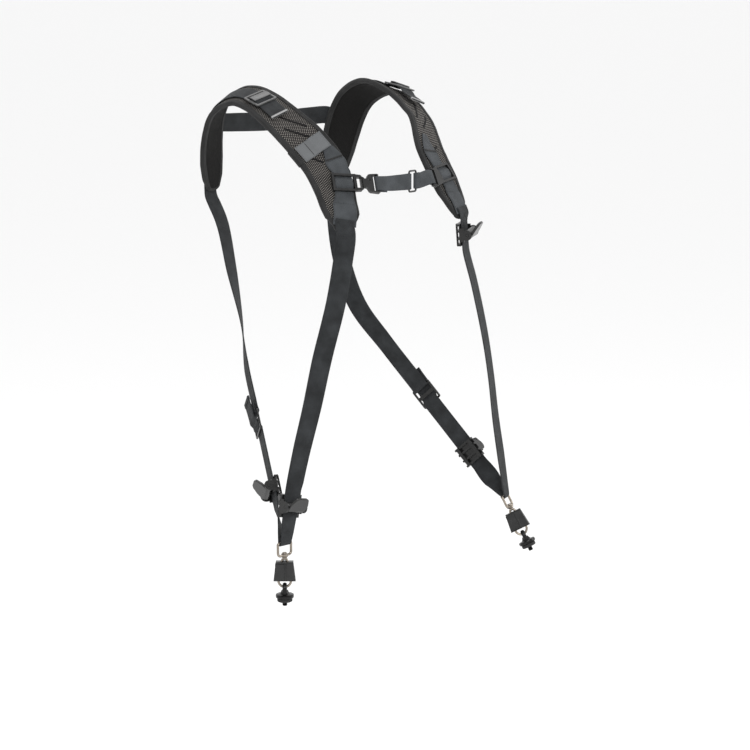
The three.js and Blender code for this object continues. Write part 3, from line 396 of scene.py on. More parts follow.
PAD_MESH = spacer_mesh("pad_spacer_mesh", 0.006, 0.21, pitch=(2.9, 4.2))
PAD_LINING = spacer_mesh("pad_lining", 0.003, 0.012, pitch=(1.8, 3.2))
TAPE = woven("edge_tape_weave", 0.008, 0.03, rib=0.9, chevron=40, sheen=0.05)
# The seam strips are real quilting lines, but their near-black colour is painted shade of the creases along
# them
SEAM_SHADE = woven("seam_painted_shade", 0.001, 0.004, rib=0.9, chevron=40, sheen=0.0)
GREY_WEBBING = woven("pad_webbing_weave", 0.024, 0.068, slant=0.6, rough=0.7, warm=-0.09)
BLACK_WEBBING = woven("black_webbing_weave", 0.006, 0.042, rib=1.6, chevron=8.0, slant=0.9,
                      depth=0.3, warm=-0.08)
LABEL = woven("label_satin", 0.085, 0.125, rib=0.45, chevron=80, depth=0.03, rough=0.5, warm=-0.04)
HEM = woven("hem_weave", 0.2, 0.34, depth=0.08, rough=0.6)
THREAD = woven("stitch_thread", 0.006, 0.03, rib=0.5, chevron=30, depth=0.05, rough=0.55)
PLASTIC = moulded_plastic("black_plastic", 0.008, rough=0.28)
SATIN_PLASTIC = moulded_plastic("satin_plastic", 0.009, rough=0.24, coat=0.05)
LOCK_PLASTIC = moulded_plastic("grey_lock_plastic", 0.07, rough=0.3)
NICKEL = polished("polished_nickel", (0.3, 0.265, 0.225))
BLACK_METAL = moulded_plastic("black_anodised", 0.006, rough=0.26, coat=0.05, Metallic=0.5)
RUBBER = moulded_plastic("matt_rubber", 0.008, rough=0.7, spread=0.06)

# Webbing

EDGE_PROFILE = [(-1, 0), (-0.985, 0.5), (-0.955, 0.85), (-0.9, 1), (-0.6, 1), (-0.3, 1), (0, 1),
                (0.3, 1), (0.6, 1), (0.9, 1), (0.955, 0.85), (0.985, 0.5)]
BAND_PROFILE = EDGE_PROFILE + [(-x, -y) for x, y in EDGE_PROFILE]
THREAD_SIDES = 6


def frames_of(stations):
    rows = []
    for i, s in enumerate(stations):
        before = stations[max(i - 1, 0)].at
        after = stations[min(i + 1, len(stations) - 1)].at
        run = (after - before).normalized()
        across = (s.across if s.across is not None else run.cross(s.face)).normalized()
        rows.append((s.at, across, s.width))
    return rows


def refine(rows, gap=2.5):
    """More rows between the given ones, on a smooth line through them."""
    out = []
    for i in range(len(rows) - 1):
        (a, ua, wa), (b, ub, wb) = rows[i], rows[i + 1]
        before = rows[i - 1][0] if i else a * 2 - b
        after = rows[i + 2][0] if i + 2 < len(rows) else b * 2 - a
        piece = Line([before, a, b, after])
        count = max(1, min(6, int(math.ceil((b - a).length / gap))))
        for k in range(count):
            t = k / count
            out.append((piece.point((1 + t) / 3), ua.lerp(ub, t).normalized(), mix(wa, wb, t)))
    out.append(rows[-1])
    return out


def band(name, stations, side, material, thickness=THICK, seed=1, wobble=0.12, gap=2.5):
    """A webbing with rounded edges along its stations, its width wavering a little."""
    rows = refine(frames_of(stations), gap)
    along = lengths([row[0] for row in rows])
    sections = []
    for i, (at, across, width) in enumerate(rows):
        before, after = rows[max(i - 1, 0)][0], rows[min(i + 1, len(rows) - 1)][0]
        normal = across.cross((after - before).normalized()).normalized()
        w = width / 2 + noise.noise(Vector((along[i] * 0.03, seed * 7.3, 0))) * wobble
        sections.append([at + across * (x * w) + normal * (z * thickness / 2) for x, z in BAND_PROFILE])
    width = sum(row[2] for row in rows) / len(rows)
    ring = [Vector((x * width / 2, z * thickness / 2, 0)) for x, z in BAND_PROFILE]
    return make(name, *sweep(sections, along, lengths(ring + ring[:1])), side=side, material=material)


def strap(name, stations, side, material, slot, *nodes, **sizes):
    """A webbing in its place on the harness, and its course for what is sewn on it."""
    place(band(name, stations, side, material, **sizes), ROOT, slot, *nodes)
    return Course(stations, sizes.get("thickness", THICK))


def stitches(name, lines, side, length=2.3, gap=1.0, thick=0.5):
    """Thread: small rounded stitches along lines of (point, normal)."""
    verts, faces, uvs = [], [], []
    rings = ((-0.5, 0.25), (-0.42, 0.8), (0, 1.0), (0.42, 0.8), (0.5, 0.25))
    n = THREAD_SIDES
    for line in lines:
        course = Line([p for p, _ in line])
        count = max(1, int(course.length / (length + gap)))
        for k in range(count):
            share = (k + 0.5) / count
            at, run = course.at(share), course.run(share)
            normal = line[min(int(share * len(line)), len(line) - 1)][1]
            across = run.cross(normal).normalized()
            start = len(verts)
            for along, size in rings:
                for j in range(n):
                    a = 2 * math.pi * j / n
                    spot = at + run * (along * length) + across * (math.cos(a) * thick / 2 * size)
                    verts.append(spot + normal * (math.sin(a) * thick / 2 * size))
            end = len(verts) - n
            for low in range(start, end, n):
                for j in range(n):
                    k2 = (j + 1) % n
                    faces.append((low + j, low + k2, low + n + k2, low + n + j))
                    uvs.append([(0, 0), (0, MM), (MM, MM), (MM, 0)])
            for low, order in ((start, -1), (end, 1)):
                faces.append(tuple(range(low, low + n))[::order])
                uvs.append([(0, 0)] * n)
    return make(name, *outward(verts, faces, uvs), side=side, material=THREAD, sharp=60)


# The straps' stations, as in the CAD

WEBBING_LIFT = CLEAR * 1.6 + HALF
SLIDER_LIFT = 2 * CLEAR + LADDER_BAR + HALF
SLING_LIFT = WEBBING_LIFT + THICK + 2.4 * CLEAR
FOLD_RADIUS = EYE_WIRE / 2 + CLEAR + HALF
FOLD_AT = Vector((SLING_SPAN / 2, -0.9 * FRONT_DEPTH, -SLING_DROP))
HIP_AT = Vector((SLING_SPAN / 2 * 0.628, 0.413 * BACK_DEPTH, -WAIST_DROP))
LEG_RUN = (HIP_AT - FOLD_AT).normalized()
LEG_LENGTH = (HIP_AT - FOLD_AT).length
LEG_CAM, LEG_ADJUSTER = 0.28, 0.65
REAR_TURN = 114
# across, ahead, height, the way it faces
FRONT_ROWS = [(0.527, 1.02, 0.035, 28), (0.542, 1.0, 0.11, 32), (0.617, 1.025, 0.245, 32),
              (0.729, 1.008, 0.427, 32), (0.803, 0.9875, 0.577, 32), (0.878, 0.942, 0.733, 30),
              (0.942, 0.925, 0.87, 28)]
FRONT_CAM = {"right": 485, "left": 165}
LADDER_BASE = HALF + CLEAR
OVER_BAR = LADDER_BASE + LADDER_BAR + CLEAR + HALF


def smooth(stations, count):
    line = Line([s.at for s in stations])
    out = []
    for share in steps(0, 1, count):
        spot = line.place(share) * (len(stations) - 1)
        row = min(int(spot), len(stations) - 2)
        a, b, t = stations[row], stations[row + 1], spot - row
        face = a.face.lerp(b.face, t).normalized()
        out.append(Station(line.at(share), mix(a.width, b.width, t), face=face))
    return out


def basis(at, x, y, z):
    made = Matrix((x, y, z)).transposed().to_4x4()
    made.translation = at
    return made


def side_sling(side):
    """The sling from the pad down to the connector, and its fold round the eye."""
    fold = FOLD_TURN[side]
    front_out = facing(fold)
    late_blend = 0 if side == "left" else 1
    rows = []
    for across, ahead, height, turn in FRONT_ROWS:
        late = max(0, (height - 0.35) / 0.65) * late_blend
        down = -PAD_DROP - height * (SLING_DROP - PAD_DROP) + 8
        at = Vector((across * SLING_SPAN / 2, forward(ahead), down))
        rows.append(Station(at, face=facing(mix(turn, fold, late))))
    ways = [front_out * c - Vector((0, 0, s)) for c, s in half_turn(12)]
    arc = [Station(FOLD_AT + out * FOLD_RADIUS, BUNCHED, face=out) for out in ways]
    slide = SIDE[side]["slider"] / PLACE["slider"]
    sewn_on = [pad_station(s, slide * s, SLING_LIFT) for s in (0.018, 0.0)]
    over = FOLD_AT + front_out * FOLD_RADIUS + Vector((-3, 0, 14))
    return [*sewn_on, *rows, Station(over, BUNCHED + 3, face=front_out)], arc


def front_strap(side):
    stations = smooth(side_sling(side)[0], 44)
    low = -FRONT_CAM[side]
    at = next(i for i, s in enumerate(stations) if s.at.z < low)
    a, b = stations[at - 1].at, stations[at].at
    centre = a.lerp(b, (a.z - low) / (a.z - b.z))
    run = (stations[at - 3].at - stations[at + 3].at).normalized()
    across = run.cross(stations[at].face).normalized()
    normal = across.cross(run).normalized()
    for s in stations:
        along = (s.at - centre).dot(run)
        if abs(along) < CAM_HEIGHT * 0.85:
            s.at = centre + run * along
            s.face = normal
    return stations, basis(centre, across, run, normal)


def leg_station(share, side, width=WEBBING):
    twist = min(1, share / (LEG_CAM - 0.08))
    face = facing(mix(FOLD_TURN[side] + 180, REAR_TURN, twist))
    return Station(FOLD_AT + LEG_RUN * (share * LEG_LENGTH), width, face=face)


def leg_matrix(share, side):
    s = leg_station(share, side)
    across = LEG_RUN.cross(s.face).normalized()
    return basis(s.at, across, LEG_RUN, across.cross(LEG_RUN).normalized())


def shoulder_lock(side):
    _, run, across, normal = pad_frame(PLACE["lock"])[:4]
    seat = pad_point(PLACE["lock"], SIDE["lock"], WEBBING_LIFT)
    hinge = -LADDER_LENGTH / 2 + LADDER_WALL / 2
    turn = Matrix.Translation((0, hinge, 0)) @ Matrix.Rotation(rad(LOCK_PITCH[side]), 4, "X")
    return basis(seat, -across, -run, normal) @ turn @ Matrix.Translation((0, -hinge, 0))


def turned(matrix, vector):
    return (matrix.to_3x3() @ Vector(vector)).normalized()


def in_plane(matrix, places, width=WEBBING):
    """Stations at (ahead, height) in a lock's own frame."""
    up = turned(matrix, (0, 0, 1))
    return [Station(matrix @ Vector((0, y, z)), width, face=up) for y, z in places]


def lock_stations(side):
    through = [(-13.4, 0), (-10.6, 0), (-4.6, OVER_BAR), (0, OVER_BAR + 0.2), (4.6, OVER_BAR),
               (10.6, 0), (14, 0)]
    in_lock = in_plane(shoulder_lock(side), through)[::-1]
    lead = []
    for along in steps(0.05, 1, 12):
        share = PLACE["lock"] + (LADDER_LENGTH / 2 + 4 + along * LOCK_LEAD) / PAD.length
        lead.append(pad_station(share, SIDE["lock"] * (1 - along), WEBBING_LIFT))
    stand = 0.16 if side == "left" else 0.03
    tail = []
    for along in steps(0, 1, 4)[1:]:
        length = LADDER_LENGTH / 2 + along * LOCK_TAIL
        lift = WEBBING_LIFT + 0.8 + stand * length
        tail.append(pad_station(PLACE["lock"] - length / PAD.length, SIDE["lock"], lift))
    return [*tail[::-1], *in_lock, *lead]


def sling_stations(side):
    end = LEG_ADJUSTER - (LADDER_LENGTH / 2 + 3) / LEG_LENGTH
    leg = [leg_station(s, side, min(WEBBING, BUNCHED + 70 * s)) for s in steps(0.07, end, 16)]
    high = OVER_BAR + THICK + 4 * CLEAR
    through = [(-14, 0), (-10.6, 0), (-4.6, OVER_BAR), (0, OVER_BAR + 0.2), (5, high + 0.3), (12, high + 0.6)]
    tail = [(12 + a * TAIL, high + 0.6 + 1.5 * a) for a in (0.35, 0.7, 1)]
    top = in_plane(leg_matrix(LEG_ADJUSTER, side), through + tail)
    return [*front_strap(side)[0], *side_sling(side)[1], *leg, *top]


def turn_round(centre, radius, out, ahead, across, width):
    return [Station(centre + out * (radius * c) + ahead * (radius * s), width, across=across)
            for c, s in half_turn(10)]


# across, ahead, height, the way it faces
BACK_ROWS = [(0.93, -0.93, 0.22, 165), (0.905, -0.82, 0.5, 160), (0.96, -0.64, 0.78, 138)]


def rear_stations(side):
    matrix = leg_matrix(LEG_ADJUSTER, side)
    out, across = turned(matrix, (0, 0, 1)), turned(matrix, (1, 0, 0))
    radius = math.hypot(LADDER_BAR, LADDER_WALL) / 2 + CLEAR + HALF
    centre = matrix @ Vector((0, LADDER_LENGTH / 2 - LADDER_WALL / 2, LADDER_BASE + LADDER_BAR / 2))
    turn = turn_round(centre, radius, out, -LEG_RUN, across, WEBBING)
    sewn_on = [Station(centre + out * radius + LEG_RUN * length, across=across) for length in (13, 4)]
    low = leg_station(LEG_ADJUSTER + (LADDER_LENGTH / 2 + 4) / LEG_LENGTH, side)
    back = []
    for across_share, ahead, height, way in BACK_ROWS:
        at = (across_share * BACK_SPAN / 2, forward(ahead), mix(-PAD_DROP * 0.77, -WAIST_DROP, height))
        back.append(Station(Vector(at), face=facing(way)))
    start = [pad_station(s, 0, WEBBING_LIFT) for s in (0.9, 0.94, 0.97, 1)]
    drop = Station(start[3].at + Vector((0, 0, -10)), face=start[3].face)
    hanging = smooth([low, leg_station(0.98, side), *back[::-1], drop, start[3]], 24)[:-1]
    return [*sewn_on, *turn, *hanging, *start[::-1]]


def pad_webbing_rows(side):
    """Place, side, lift and width of the webbing along the front of the pad."""
    slider = PLACE["slider"]
    sides = SIDE[side]
    slant = math.tan(rad(SLIDER_TURN)) * PAD.length / pad_frame(slider)[4]

    def step(length):
        return length / PAD.length

    straight = step(SLIDER_HEIGHT / 2 + 2)

    def on_pad(share):
        above = (share - slider - straight) / (PLACE["stitch"] - slider - straight)
        below = share / (slider - straight)
        through = sides["slider"] - clamp(share - slider, -straight, straight) * slant
        return mix(through * clamp(below), sides["stitch"], clamp(above))

    def width_at(share):
        away = clamp((abs(share - slider) * PAD.length - SLIDER_HEIGHT / 2 - 6) / 8)
        above = clamp((share - slider) / (PLACE["stitch"] - slider))
        return mix(SLIDER_WEBBING, PAD_WEBBING, away) - above * 2

    rail, bar = step(SLIDER_HEIGHT / 2 - SLIDER_RAIL - 1), step(LADDER_BAR + 1.2)
    bulge = [(slider - rail, 0), (slider - bar, 1), (slider + bar, 1), (slider + rail, 0)]
    plain = steps(-step(2), bulge[0][0] - step(3), 8) + steps(bulge[3][0] + step(3), PLACE["stitch"], 6)
    rows = sorted([(s, 0) for s in plain] + bulge)
    out = [(s, on_pad(s), SLIDER_LIFT if high else WEBBING_LIFT, width_at(s)) for s, high in rows]
    for share in steps(PLACE["stitch"], PLACE["point"], 4)[1:]:
        along = (share - PLACE["stitch"]) / (PLACE["point"] - PLACE["stitch"])
        spot = mix(sides["stitch"], sides["point"], along)
        out.append((share, spot, WEBBING_LIFT, width_at(share) * (1 - 0.7 * along)))
    return out


class Course:
    """A webbing's finished line, for what is sewn on it."""

    def __init__(self, stations, thickness=THICK):
        self.rows = refine(frames_of(stations))
        self.top = thickness / 2
        self.along = lengths([row[0] for row in self.rows])
        self.length = self.along[-1]

    def spot(self, length, v, lift=0.1):
        """The point v of the half width across, and the way that the webbing faces there."""
        if length < 0:
            length += self.length
        i = min(max(bisect_right(self.along, length) - 1, 0), len(self.rows) - 2)
        t = clamp((length - self.along[i]) / (self.along[i + 1] - self.along[i]))
        (a, ua, wa), (b, ub, wb) = self.rows[i], self.rows[i + 1]
        across, run = ua.lerp(ub, t).normalized(), (b - a).normalized()
        normal = across.cross(run).normalized()
        return a.lerp(b, t) + across * (v * mix(wa, wb, t) / 2) + normal * (self.top + lift), normal

    def over(self, length, reach=0.86, lift=0.1):
        return [self.spot(length, v, lift) for v in steps(-reach, reach, 4)]

    def beside(self, start, end, v, lift=0.1):
        return [self.spot(x, v, lift) for x in steps(start, end, max(3, int(abs(end - start) / 6)))]

    def hem(self, name, places, across, side, material, slot, seed):
        """The webbing's end turned back on itself and sewn."""
        ends = [Station(self.spot(d, 0, -self.top)[0], WEBBING + 0.4, across=across) for d in places]
        strap(name, ends, side, material, slot, thickness=2 * self.top + 1.5, seed=seed)

    def square(self, start, end, reach=0.84, lift=0.1):
        """A sewn box with its cross."""
        crosses = [[self.spot(mix(start, end, t), mix(-v, v, t), lift) for t in steps(0, 1, 4)]
                   for v in (reach, -reach)]
        sides = [self.beside(start, end, v, lift) for v in (-reach, reach)]
        return [self.over(start, reach, lift), self.over(end, reach, lift), *sides, *crosses]


def sewn(name, lines, side, **sizes):
    return place(stitches(name, lines, side, **sizes), ROOT, "webbing")


# Pads

SEAMS = [((0.438, 0.3), (0.335, -0.55)), ((0.37, 0.4), (0.302, -0.25)), ((0.245, 0.4), (0.212, 0.02))]
PAD_ROWS_ALONG, PAD_COLUMNS = 150, 22
COVER_TOP, COVER_BOTTOM, COVER_BEYOND, END_HELD = 3.0, 3.1, 3.6, 14
PUFF_FREE, PUFF_COVERED, CLOTH_FRAMES = 1.7, 0.12, 20


def covered(share, side):
    """How much of the pad's top lies under a webbing, from 0 to 1."""
    front = clamp((PLACE["point"] + 0.01 - share) / 0.02) * clamp((0.36 - side) / 0.2)
    lock = clamp((share - 0.4) / 0.02) * clamp((0.79 - share) / 0.02) * clamp((0.62 - abs(side)) / 0.15)
    back = clamp((share - 0.77) / 0.02)
    label = clamp((0.035 - abs(share - PLACE["label"])) / 0.01)
    return max(front, lock, back, label)


def pad_body(side):
    shares = steps(-COVER_BEYOND / PAD.length, 1 + COVER_BEYOND / PAD.length, PAD_ROWS_ALONG)
    across_shares = steps(-1, 1, PAD_COLUMNS)
    count = len(across_shares)
    top, bottom, uv, pinned, caps = [], [], [], [], []
    for share in shares:
        at, run, across, normal, reach = pad_frame(share)
        beyond = (share - clamp(share)) * PAD.length
        at = at + run * beyond
        to_end = min(share, 1 - share) * PAD.length / END_HELD
        w = (reach - 0.6 * BINDING_WIDTH) * math.sqrt(1 - (beyond / BINDING_WIDTH) ** 2)
        for s in across_shares:
            ripple = noise.noise(Vector((share * 26, s * 2.5, 3.1))) * 0.25 * (1 - s * s)
            spot, fall = at + across * (s * w), 1 - 0.5 * abs(s) ** 6
            top.append(spot + normal * (COVER_TOP * fall + ripple))
            bottom.append(spot - normal * (COVER_BOTTOM * fall))
            uv.append((share * PAD.length * MM, s * w * MM))
            seam = min(seam_distance(share, s, reach, a, b) for a, b in SEAMS)
            edge = clamp((abs(s) - 0.82) / 0.08)
            pinned.append(max(edge, clamp(1 - (seam - 1.2) / 1.6), clamp(1 - to_end)))
            caps.append(mix(PUFF_FREE, PUFF_COVERED, covered(share, s)))
    verts = top + bottom
    base = len(top)
    faces, uvs = [], []
    for i in range(len(shares) - 1):
        for j in range(count - 1):
            a = i * count + j
            corners = (a, a + 1, a + count + 1, a + count)
            faces += [corners, tuple(base + k for k in corners[::-1])]
            uvs += [[uv[k] for k in corners], [uv[k] for k in corners[::-1]]]
    rim = list(range(count)) + [i * count + count - 1 for i in range(1, len(shares))]
    rim += [(len(shares) - 1) * count + j for j in range(count - 2, -1, -1)]
    rim += [i * count for i in range(len(shares) - 2, 0, -1)]
    for k, a in enumerate(rim):
        b = rim[(k + 1) % len(rim)]
        faces.append((a, base + a, base + b, b))
        uvs.append([uv[a], uv[a], uv[b], uv[b]])
    piece = make(f"pad_cover_{side}", *outward(verts, faces, uvs), side=side, material=PAD_MESH)
    piece.data.materials.append(PAD_LINING)
    for face in piece.data.polygons:
        if all(v >= base for v in face.vertices):
            face.material_index = 1
    puff(piece, pinned + [1.0] * len(bottom), caps + [0.0] * len(bottom))
    detail = piece.modifiers.new("finer", "SUBSURF")
    detail.levels = detail.render_levels = 1
    return piece


def seam_distance(share, side, reach, start, end):
    """From a place on the pad to a seam, in millimetres."""
    def flat(place):
        return Vector((place[0] * PAD.length, place[1] * reach))
    a, b, p = flat(start), flat(end), flat((share, side))
    t = clamp((p - a).dot(b - a) / (b - a).length_squared)
    return (p - a.lerp(b, t)).length


def puff(piece, pinned, caps):
    """Blows the cover up like filled cloth between what holds it, each point no further than its cap."""
    mesh = piece.data
    start = [v.co.copy() for v in mesh.vertices]
    group = piece.vertex_groups.new(name="held")
    for i, weight in enumerate(pinned):
        group.add([i], weight, "REPLACE")
    cloth = piece.modifiers.new("cloth", "CLOTH")
    settings = cloth.settings
    settings.quality = 6
    settings.mass = 0.15
    settings.tension_stiffness = settings.compression_stiffness = 12
    settings.bending_stiffness = 1.5
    settings.use_pressure = True
    settings.uniform_pressure_force = 4
    settings.vertex_group_mass = "held"
    settings.effector_weights.gravity = 0
    scene = bpy.context.scene
    for number in range(1, CLOTH_FRAMES + 1):
        scene.frame_set(number)
    evaluated = piece.evaluated_get(bpy.context.evaluated_depsgraph_get())
    moved = [v.co.copy() for v in evaluated.data.vertices]
    piece.modifiers.remove(cloth)
    scene.frame_set(1)
    for v, a, b, cap in zip(mesh.vertices, start, moved, caps):
        step = b - a
        if step.length > cap * MM:
            step = step.normalized() * cap * MM
        v.co = a + step
    mesh.update()


TAPE_PROFILE = [(2.3, 0), (2.25, 1.2), (2.0, 2.1), (1.5, 2.75), (0.8, 3.1), (0.1, 3.15), (-0.5, 2.95),
                (-0.9, 2.95), (-1.5, 3.2), (-2.6, 3.3), (-3.6, 3.2), (-4.1, 3.0), (-4.2, 2.7),
                (-3.9, 2.45), (-1.2, 2.3), (-0.9, 1.9)]
TAPE_PROFILE += [(x, -z) for x, z in TAPE_PROFILE[:0:-1]]


def edge_rows(first=0.0, last=1.0, count=150, around=True):
    """The tape's course round the pad: place, way out, the pad's normal, and the inner flange's share."""
    w = BINDING_WIDTH / 2

    def row(share, side):
        at, _, across, normal, reach = pad_frame(share)
        inner = mix(0.45, 1, clamp(min(share, 1 - share) * PAD.length / 12))
        return at + across * (side * (reach - w)), across * side, normal, inner

    def end(share, start_side):
        at, run, across, normal, reach = pad_frame(share)
        out_run = run if share > 0.5 else -run
        rows = []
        for c, s in half_turn(14)[1:-1]:
            c *= start_side
            spot = at + across * (c * (reach - w)) + out_run * (s * BINDING_WIDTH)
            rows.append((spot, (across * c + out_run * s).normalized(), normal, 0.45))
        return rows

    outer = [row(s, 1) for s in steps(first, last, count)]
    if not around:
        return outer
    inner = [row(s, -1) for s in steps(last, first, count)]
    return [*outer, *end(1, 1), *inner, *end(0, -1)]


def taped(name, rows, side, ring, grow=0.0, seed=0):
    """Folded tape over an edge, along the rows that edge_rows gives."""
    sections = []
    for i, (at, out, normal, inner) in enumerate(rows):
        shake = noise.noise(Vector((i * 0.13, seed, 1.7))) * 0.22
        section = []
        for x, z in TAPE_PROFILE:
            lift = shake * (1 if x > -3 else 0.3) + (grow if z else 0)
            x = x * inner if x < 0 else x + (grow if x > 1 else 0)
            section.append(at + out * x + normal * (z + math.copysign(lift, z) if z else 0))
        sections.append(section)
    around = [0.0]
    for (x0, z0), (x1, z1) in zip(TAPE_PROFILE, TAPE_PROFILE[1:] + TAPE_PROFILE[:1]):
        around.append(around[-1] + math.hypot(x1 - x0, z1 - z0))
    course = [row[0] for row in rows]
    along = lengths(course + course[:1] if ring else course)
    return make(name, *sweep(sections, along, around, ring), side=side, material=TAPE, sharp=50)


def pad_details(side):
    """The pad's cover, the tape round its edge and the seams sewn across it, drawn near black as painted
    shade in their creases.
    """
    cover = place(pad_body(side), ROOT, "pad_mesh", f"shoulder_pad_{side}")
    rows = edge_rows()
    tape = taped(f"edge_tape_{side}", rows, side, True, seed=1.0 if side == "left" else 5.0)
    place(tape, ROOT, "edge_tape", f"pad_binding_{side}")
    line = [(at - out * (3.3 * inner) + normal * 3.35, normal) for at, out, normal, inner in rows]
    ridge = [(at - out * (0.7 * inner) + normal * 3.1, normal) for at, out, normal, inner in rows]
    parts = [course[i:i + 32] for course in (line, ridge) for i in range(0, len(course) - 1, 31)]
    place(stitches(f"tape_stitches_{side}", parts, side, length=2.0, gap=1.1, thick=0.4), ROOT, "edge_tape")
    # Strips along the quilting lines, where the cover is held down; their near-black colour is painted shade
    # in the creases
    for k, (a, b) in enumerate(SEAMS):
        spots = [(mix(a[0], b[0], t), mix(a[1], b[1], t)) for t in steps(0, 1, 8)]
        stations = [pad_station(share, s, -0.2, 2.6) for share, s in spots]
        strap(f"pad_seam_shade_{k + 1}_{side}", stations, side, SEAM_SHADE, "edge_tape", thickness=0.9, seed=k)


def pad_front_webbing(side):
    stations = [pad_station(*row) for row in pad_webbing_rows(side)]
    course = strap(f"front_webbing_{side}", stations, side, GREY_WEBBING, "pad_webbing",
                   f"pad_webbing_{side}", seed=3)
    fold = course.length - (PLACE["point"] - PLACE["stitch"]) * PAD.length
    hem = [Station(p, 2.4, face=n) for p, n in course.over(fold, 0.92, 0.35)]
    strap(f"webbing_fold_{side}", hem, side, TAPE, "pad_webbing", thickness=0.7, seed=4)
    lines = [course.over(fold - 2.4, 0.88), course.over(3.2, 0.86), course.over(30, 0.86)]
    lines += [course.beside(3, fold - 4, v) for v in (-0.9, 0.9)]
    sewn(f"front_stitches_{side}", lines, side, length=2.0, gap=1.0, thick=0.36)


def shoulder_webbing(side):
    course = strap(f"shoulder_webbing_{side}", lock_stations(side), side, BLACK_WEBBING, "webbing",
                   f"lock_webbing_{side}", seed=5)
    over = OVER_BAR + HALF + CLEAR
    bar = [(-5.8, -0.5), (-4.8, 0.1), (-2.4, 0.3), (0, 0.4), (2.4, 0.3), (4.8, 0.1), (5.8, -0.5)]
    rows = in_plane(shoulder_lock(side), [(y, over + z) for y, z in bar], WEBBING + 1)
    strap(f"lock_bar_{side}", rows, side, LOCK_PLASTIC, "plastic", thickness=1.1, wobble=0)
    course.hem(f"tail_hem_{side}", (0.2, 1.5, 2.8), course.rows[0][1], side, HEM, "label", seed=6)
    sewn(f"shoulder_stitches_{side}", [course.over(6.5), *course.square(-20, -3), course.over(-23)], side)


def sling(side):
    course = strap(f"sling_{side}", sling_stations(side), side, BLACK_WEBBING, "webbing",
                   f"sling_webbing_{side}", seed=7)
    lowest = min(range(len(course.rows)), key=lambda i: course.rows[i][0].z)
    fold = course.along[lowest]
    lines = [*course.square(3, 20), course.over(23)]
    lines += [course.over(fold - d, 0.8) for d in (17, 19)]
    sewn(f"sling_stitches_{side}", lines, side)
    ends, across = (-5.5, -3.0, -0.4), course.rows[-1][1]
    course.hem(f"sling_tail_hem_{side}", ends, across, side, BLACK_WEBBING, "webbing", seed=8)
    sewn(f"sling_tail_stitches_{side}", [course.over(-7.5)], side)


def rear(side):
    course = strap(f"rear_strap_{side}", rear_stations(side), side, BLACK_WEBBING, "webbing",
                   f"rear_webbing_{side}", seed=9)
    sewn(f"rear_stitches_{side}", [course.over(1.5), course.over(8), *course.square(-34, -6)], side)


# Hard pieces

def moulded(name, material, width, segments=2):
    """A CAD piece with its edges rounded as a mould leaves them."""
    mesh = frame["nodes"][name].data.copy()
    shape = bmesh.new()
    shape.from_mesh(mesh)
    bmesh.ops.remove_doubles(shape, verts=shape.verts, dist=3e-6)
    bmesh.ops.dissolve_limit(shape, angle_limit=rad(1.5), verts=shape.verts, edges=shape.edges)
    shape.to_mesh(mesh)
    shape.free()
    mesh.materials.clear()
    mesh.materials.append(material)
    piece = add_object(f"moulded_{name}", mesh)
    bevel = piece.modifiers.new("rounded", "BEVEL")
    bevel.width = width * MM
    bevel.segments = segments
    bevel.limit_method = "ANGLE"
    bevel.angle_limit = MOULD_ANGLE
    bevel.harden_normals = True
    mesh.shade_smooth()
    mesh.set_sharp_from_angle(angle=MOULD_ANGLE)
    return place(piece, BODY[name], "plastic", name)


def lathe(profile, sides=48):
    """A profile of (radius, height) turned about Z; ends on the axis or meets its start."""
    count = len(profile)
    verts, faces = [], []
    for k in range(sides):
        a = 2 * math.pi * k / sides
        verts += [Vector((r * math.cos(a), r * math.sin(a), z)) for r, z in profile]
        near, far = k * count, (k + 1) % sides * count
        for j, ((start, _), (end, _)) in enumerate(zip(profile, profile[1:])):
            corners = [near + j, near + j + 1] + [far + j + 1] * (end > 0) + [far + j] * (start > 0)
            if len(corners) > 2:
                faces.append(tuple(corners))
    return outward(verts, faces, [[(0, 0)] * len(face) for face in faces])


def tube(route, radius, sides=16, side_axis=(0, 1, 0)):
    """A closed ring of round wire along its route."""
    reference = Vector(side_axis)
    sections = []
    for i, at in enumerate(route):
        run = (route[(i + 1) % len(route)] - route[i - 1]).normalized()
        out = run.cross(reference).normalized()
        sections.append([at + reference * (radius * math.cos(2 * math.pi * k / sides))
                         + out * (radius * math.sin(2 * math.pi * k / sides)) for k in range(sides)])
    return sweep(sections, lengths(route + route[:1]), steps(0, 2 * math.pi * radius, sides), True)


def upright(places):
    return [Vector((x, 0, z)) for x, z in places]


def joined(name, shells, matrix, material):
    verts, faces, uvs = [], [], []
    for v, f, u in shells:
        base = len(verts)
        verts += [matrix @ Vector(p) for p in v]
        faces += [tuple(base + i for i in face) for face in f]
        uvs += u
    piece = make(name, verts, faces, uvs, material=material, sharp=40)
    tidy = bmesh.new()
    tidy.from_mesh(piece.data)
    bmesh.ops.remove_doubles(tidy, verts=tidy.verts, dist=1e-6)
    tidy.to_mesh(piece.data)
    tidy.free()
    return piece


def rounded_route(corners, radius, cuts=6):
    """A closed route in the XZ plane with its corners rounded."""
    out = []
    count = len(corners)
    for i, (x, z) in enumerate(corners):
        here = Vector((x, 0, z))
        ways = upright([corners[i - 1], corners[(i + 1) % count]])
        before, after = [(way - here).normalized() for way in ways]
        r = radius[i]
        for t in steps(0, 1, cuts):
            a, b = here + before * r, here + after * r
            out.append(a.lerp(here, t).lerp(here.lerp(b, t), t))
    return out


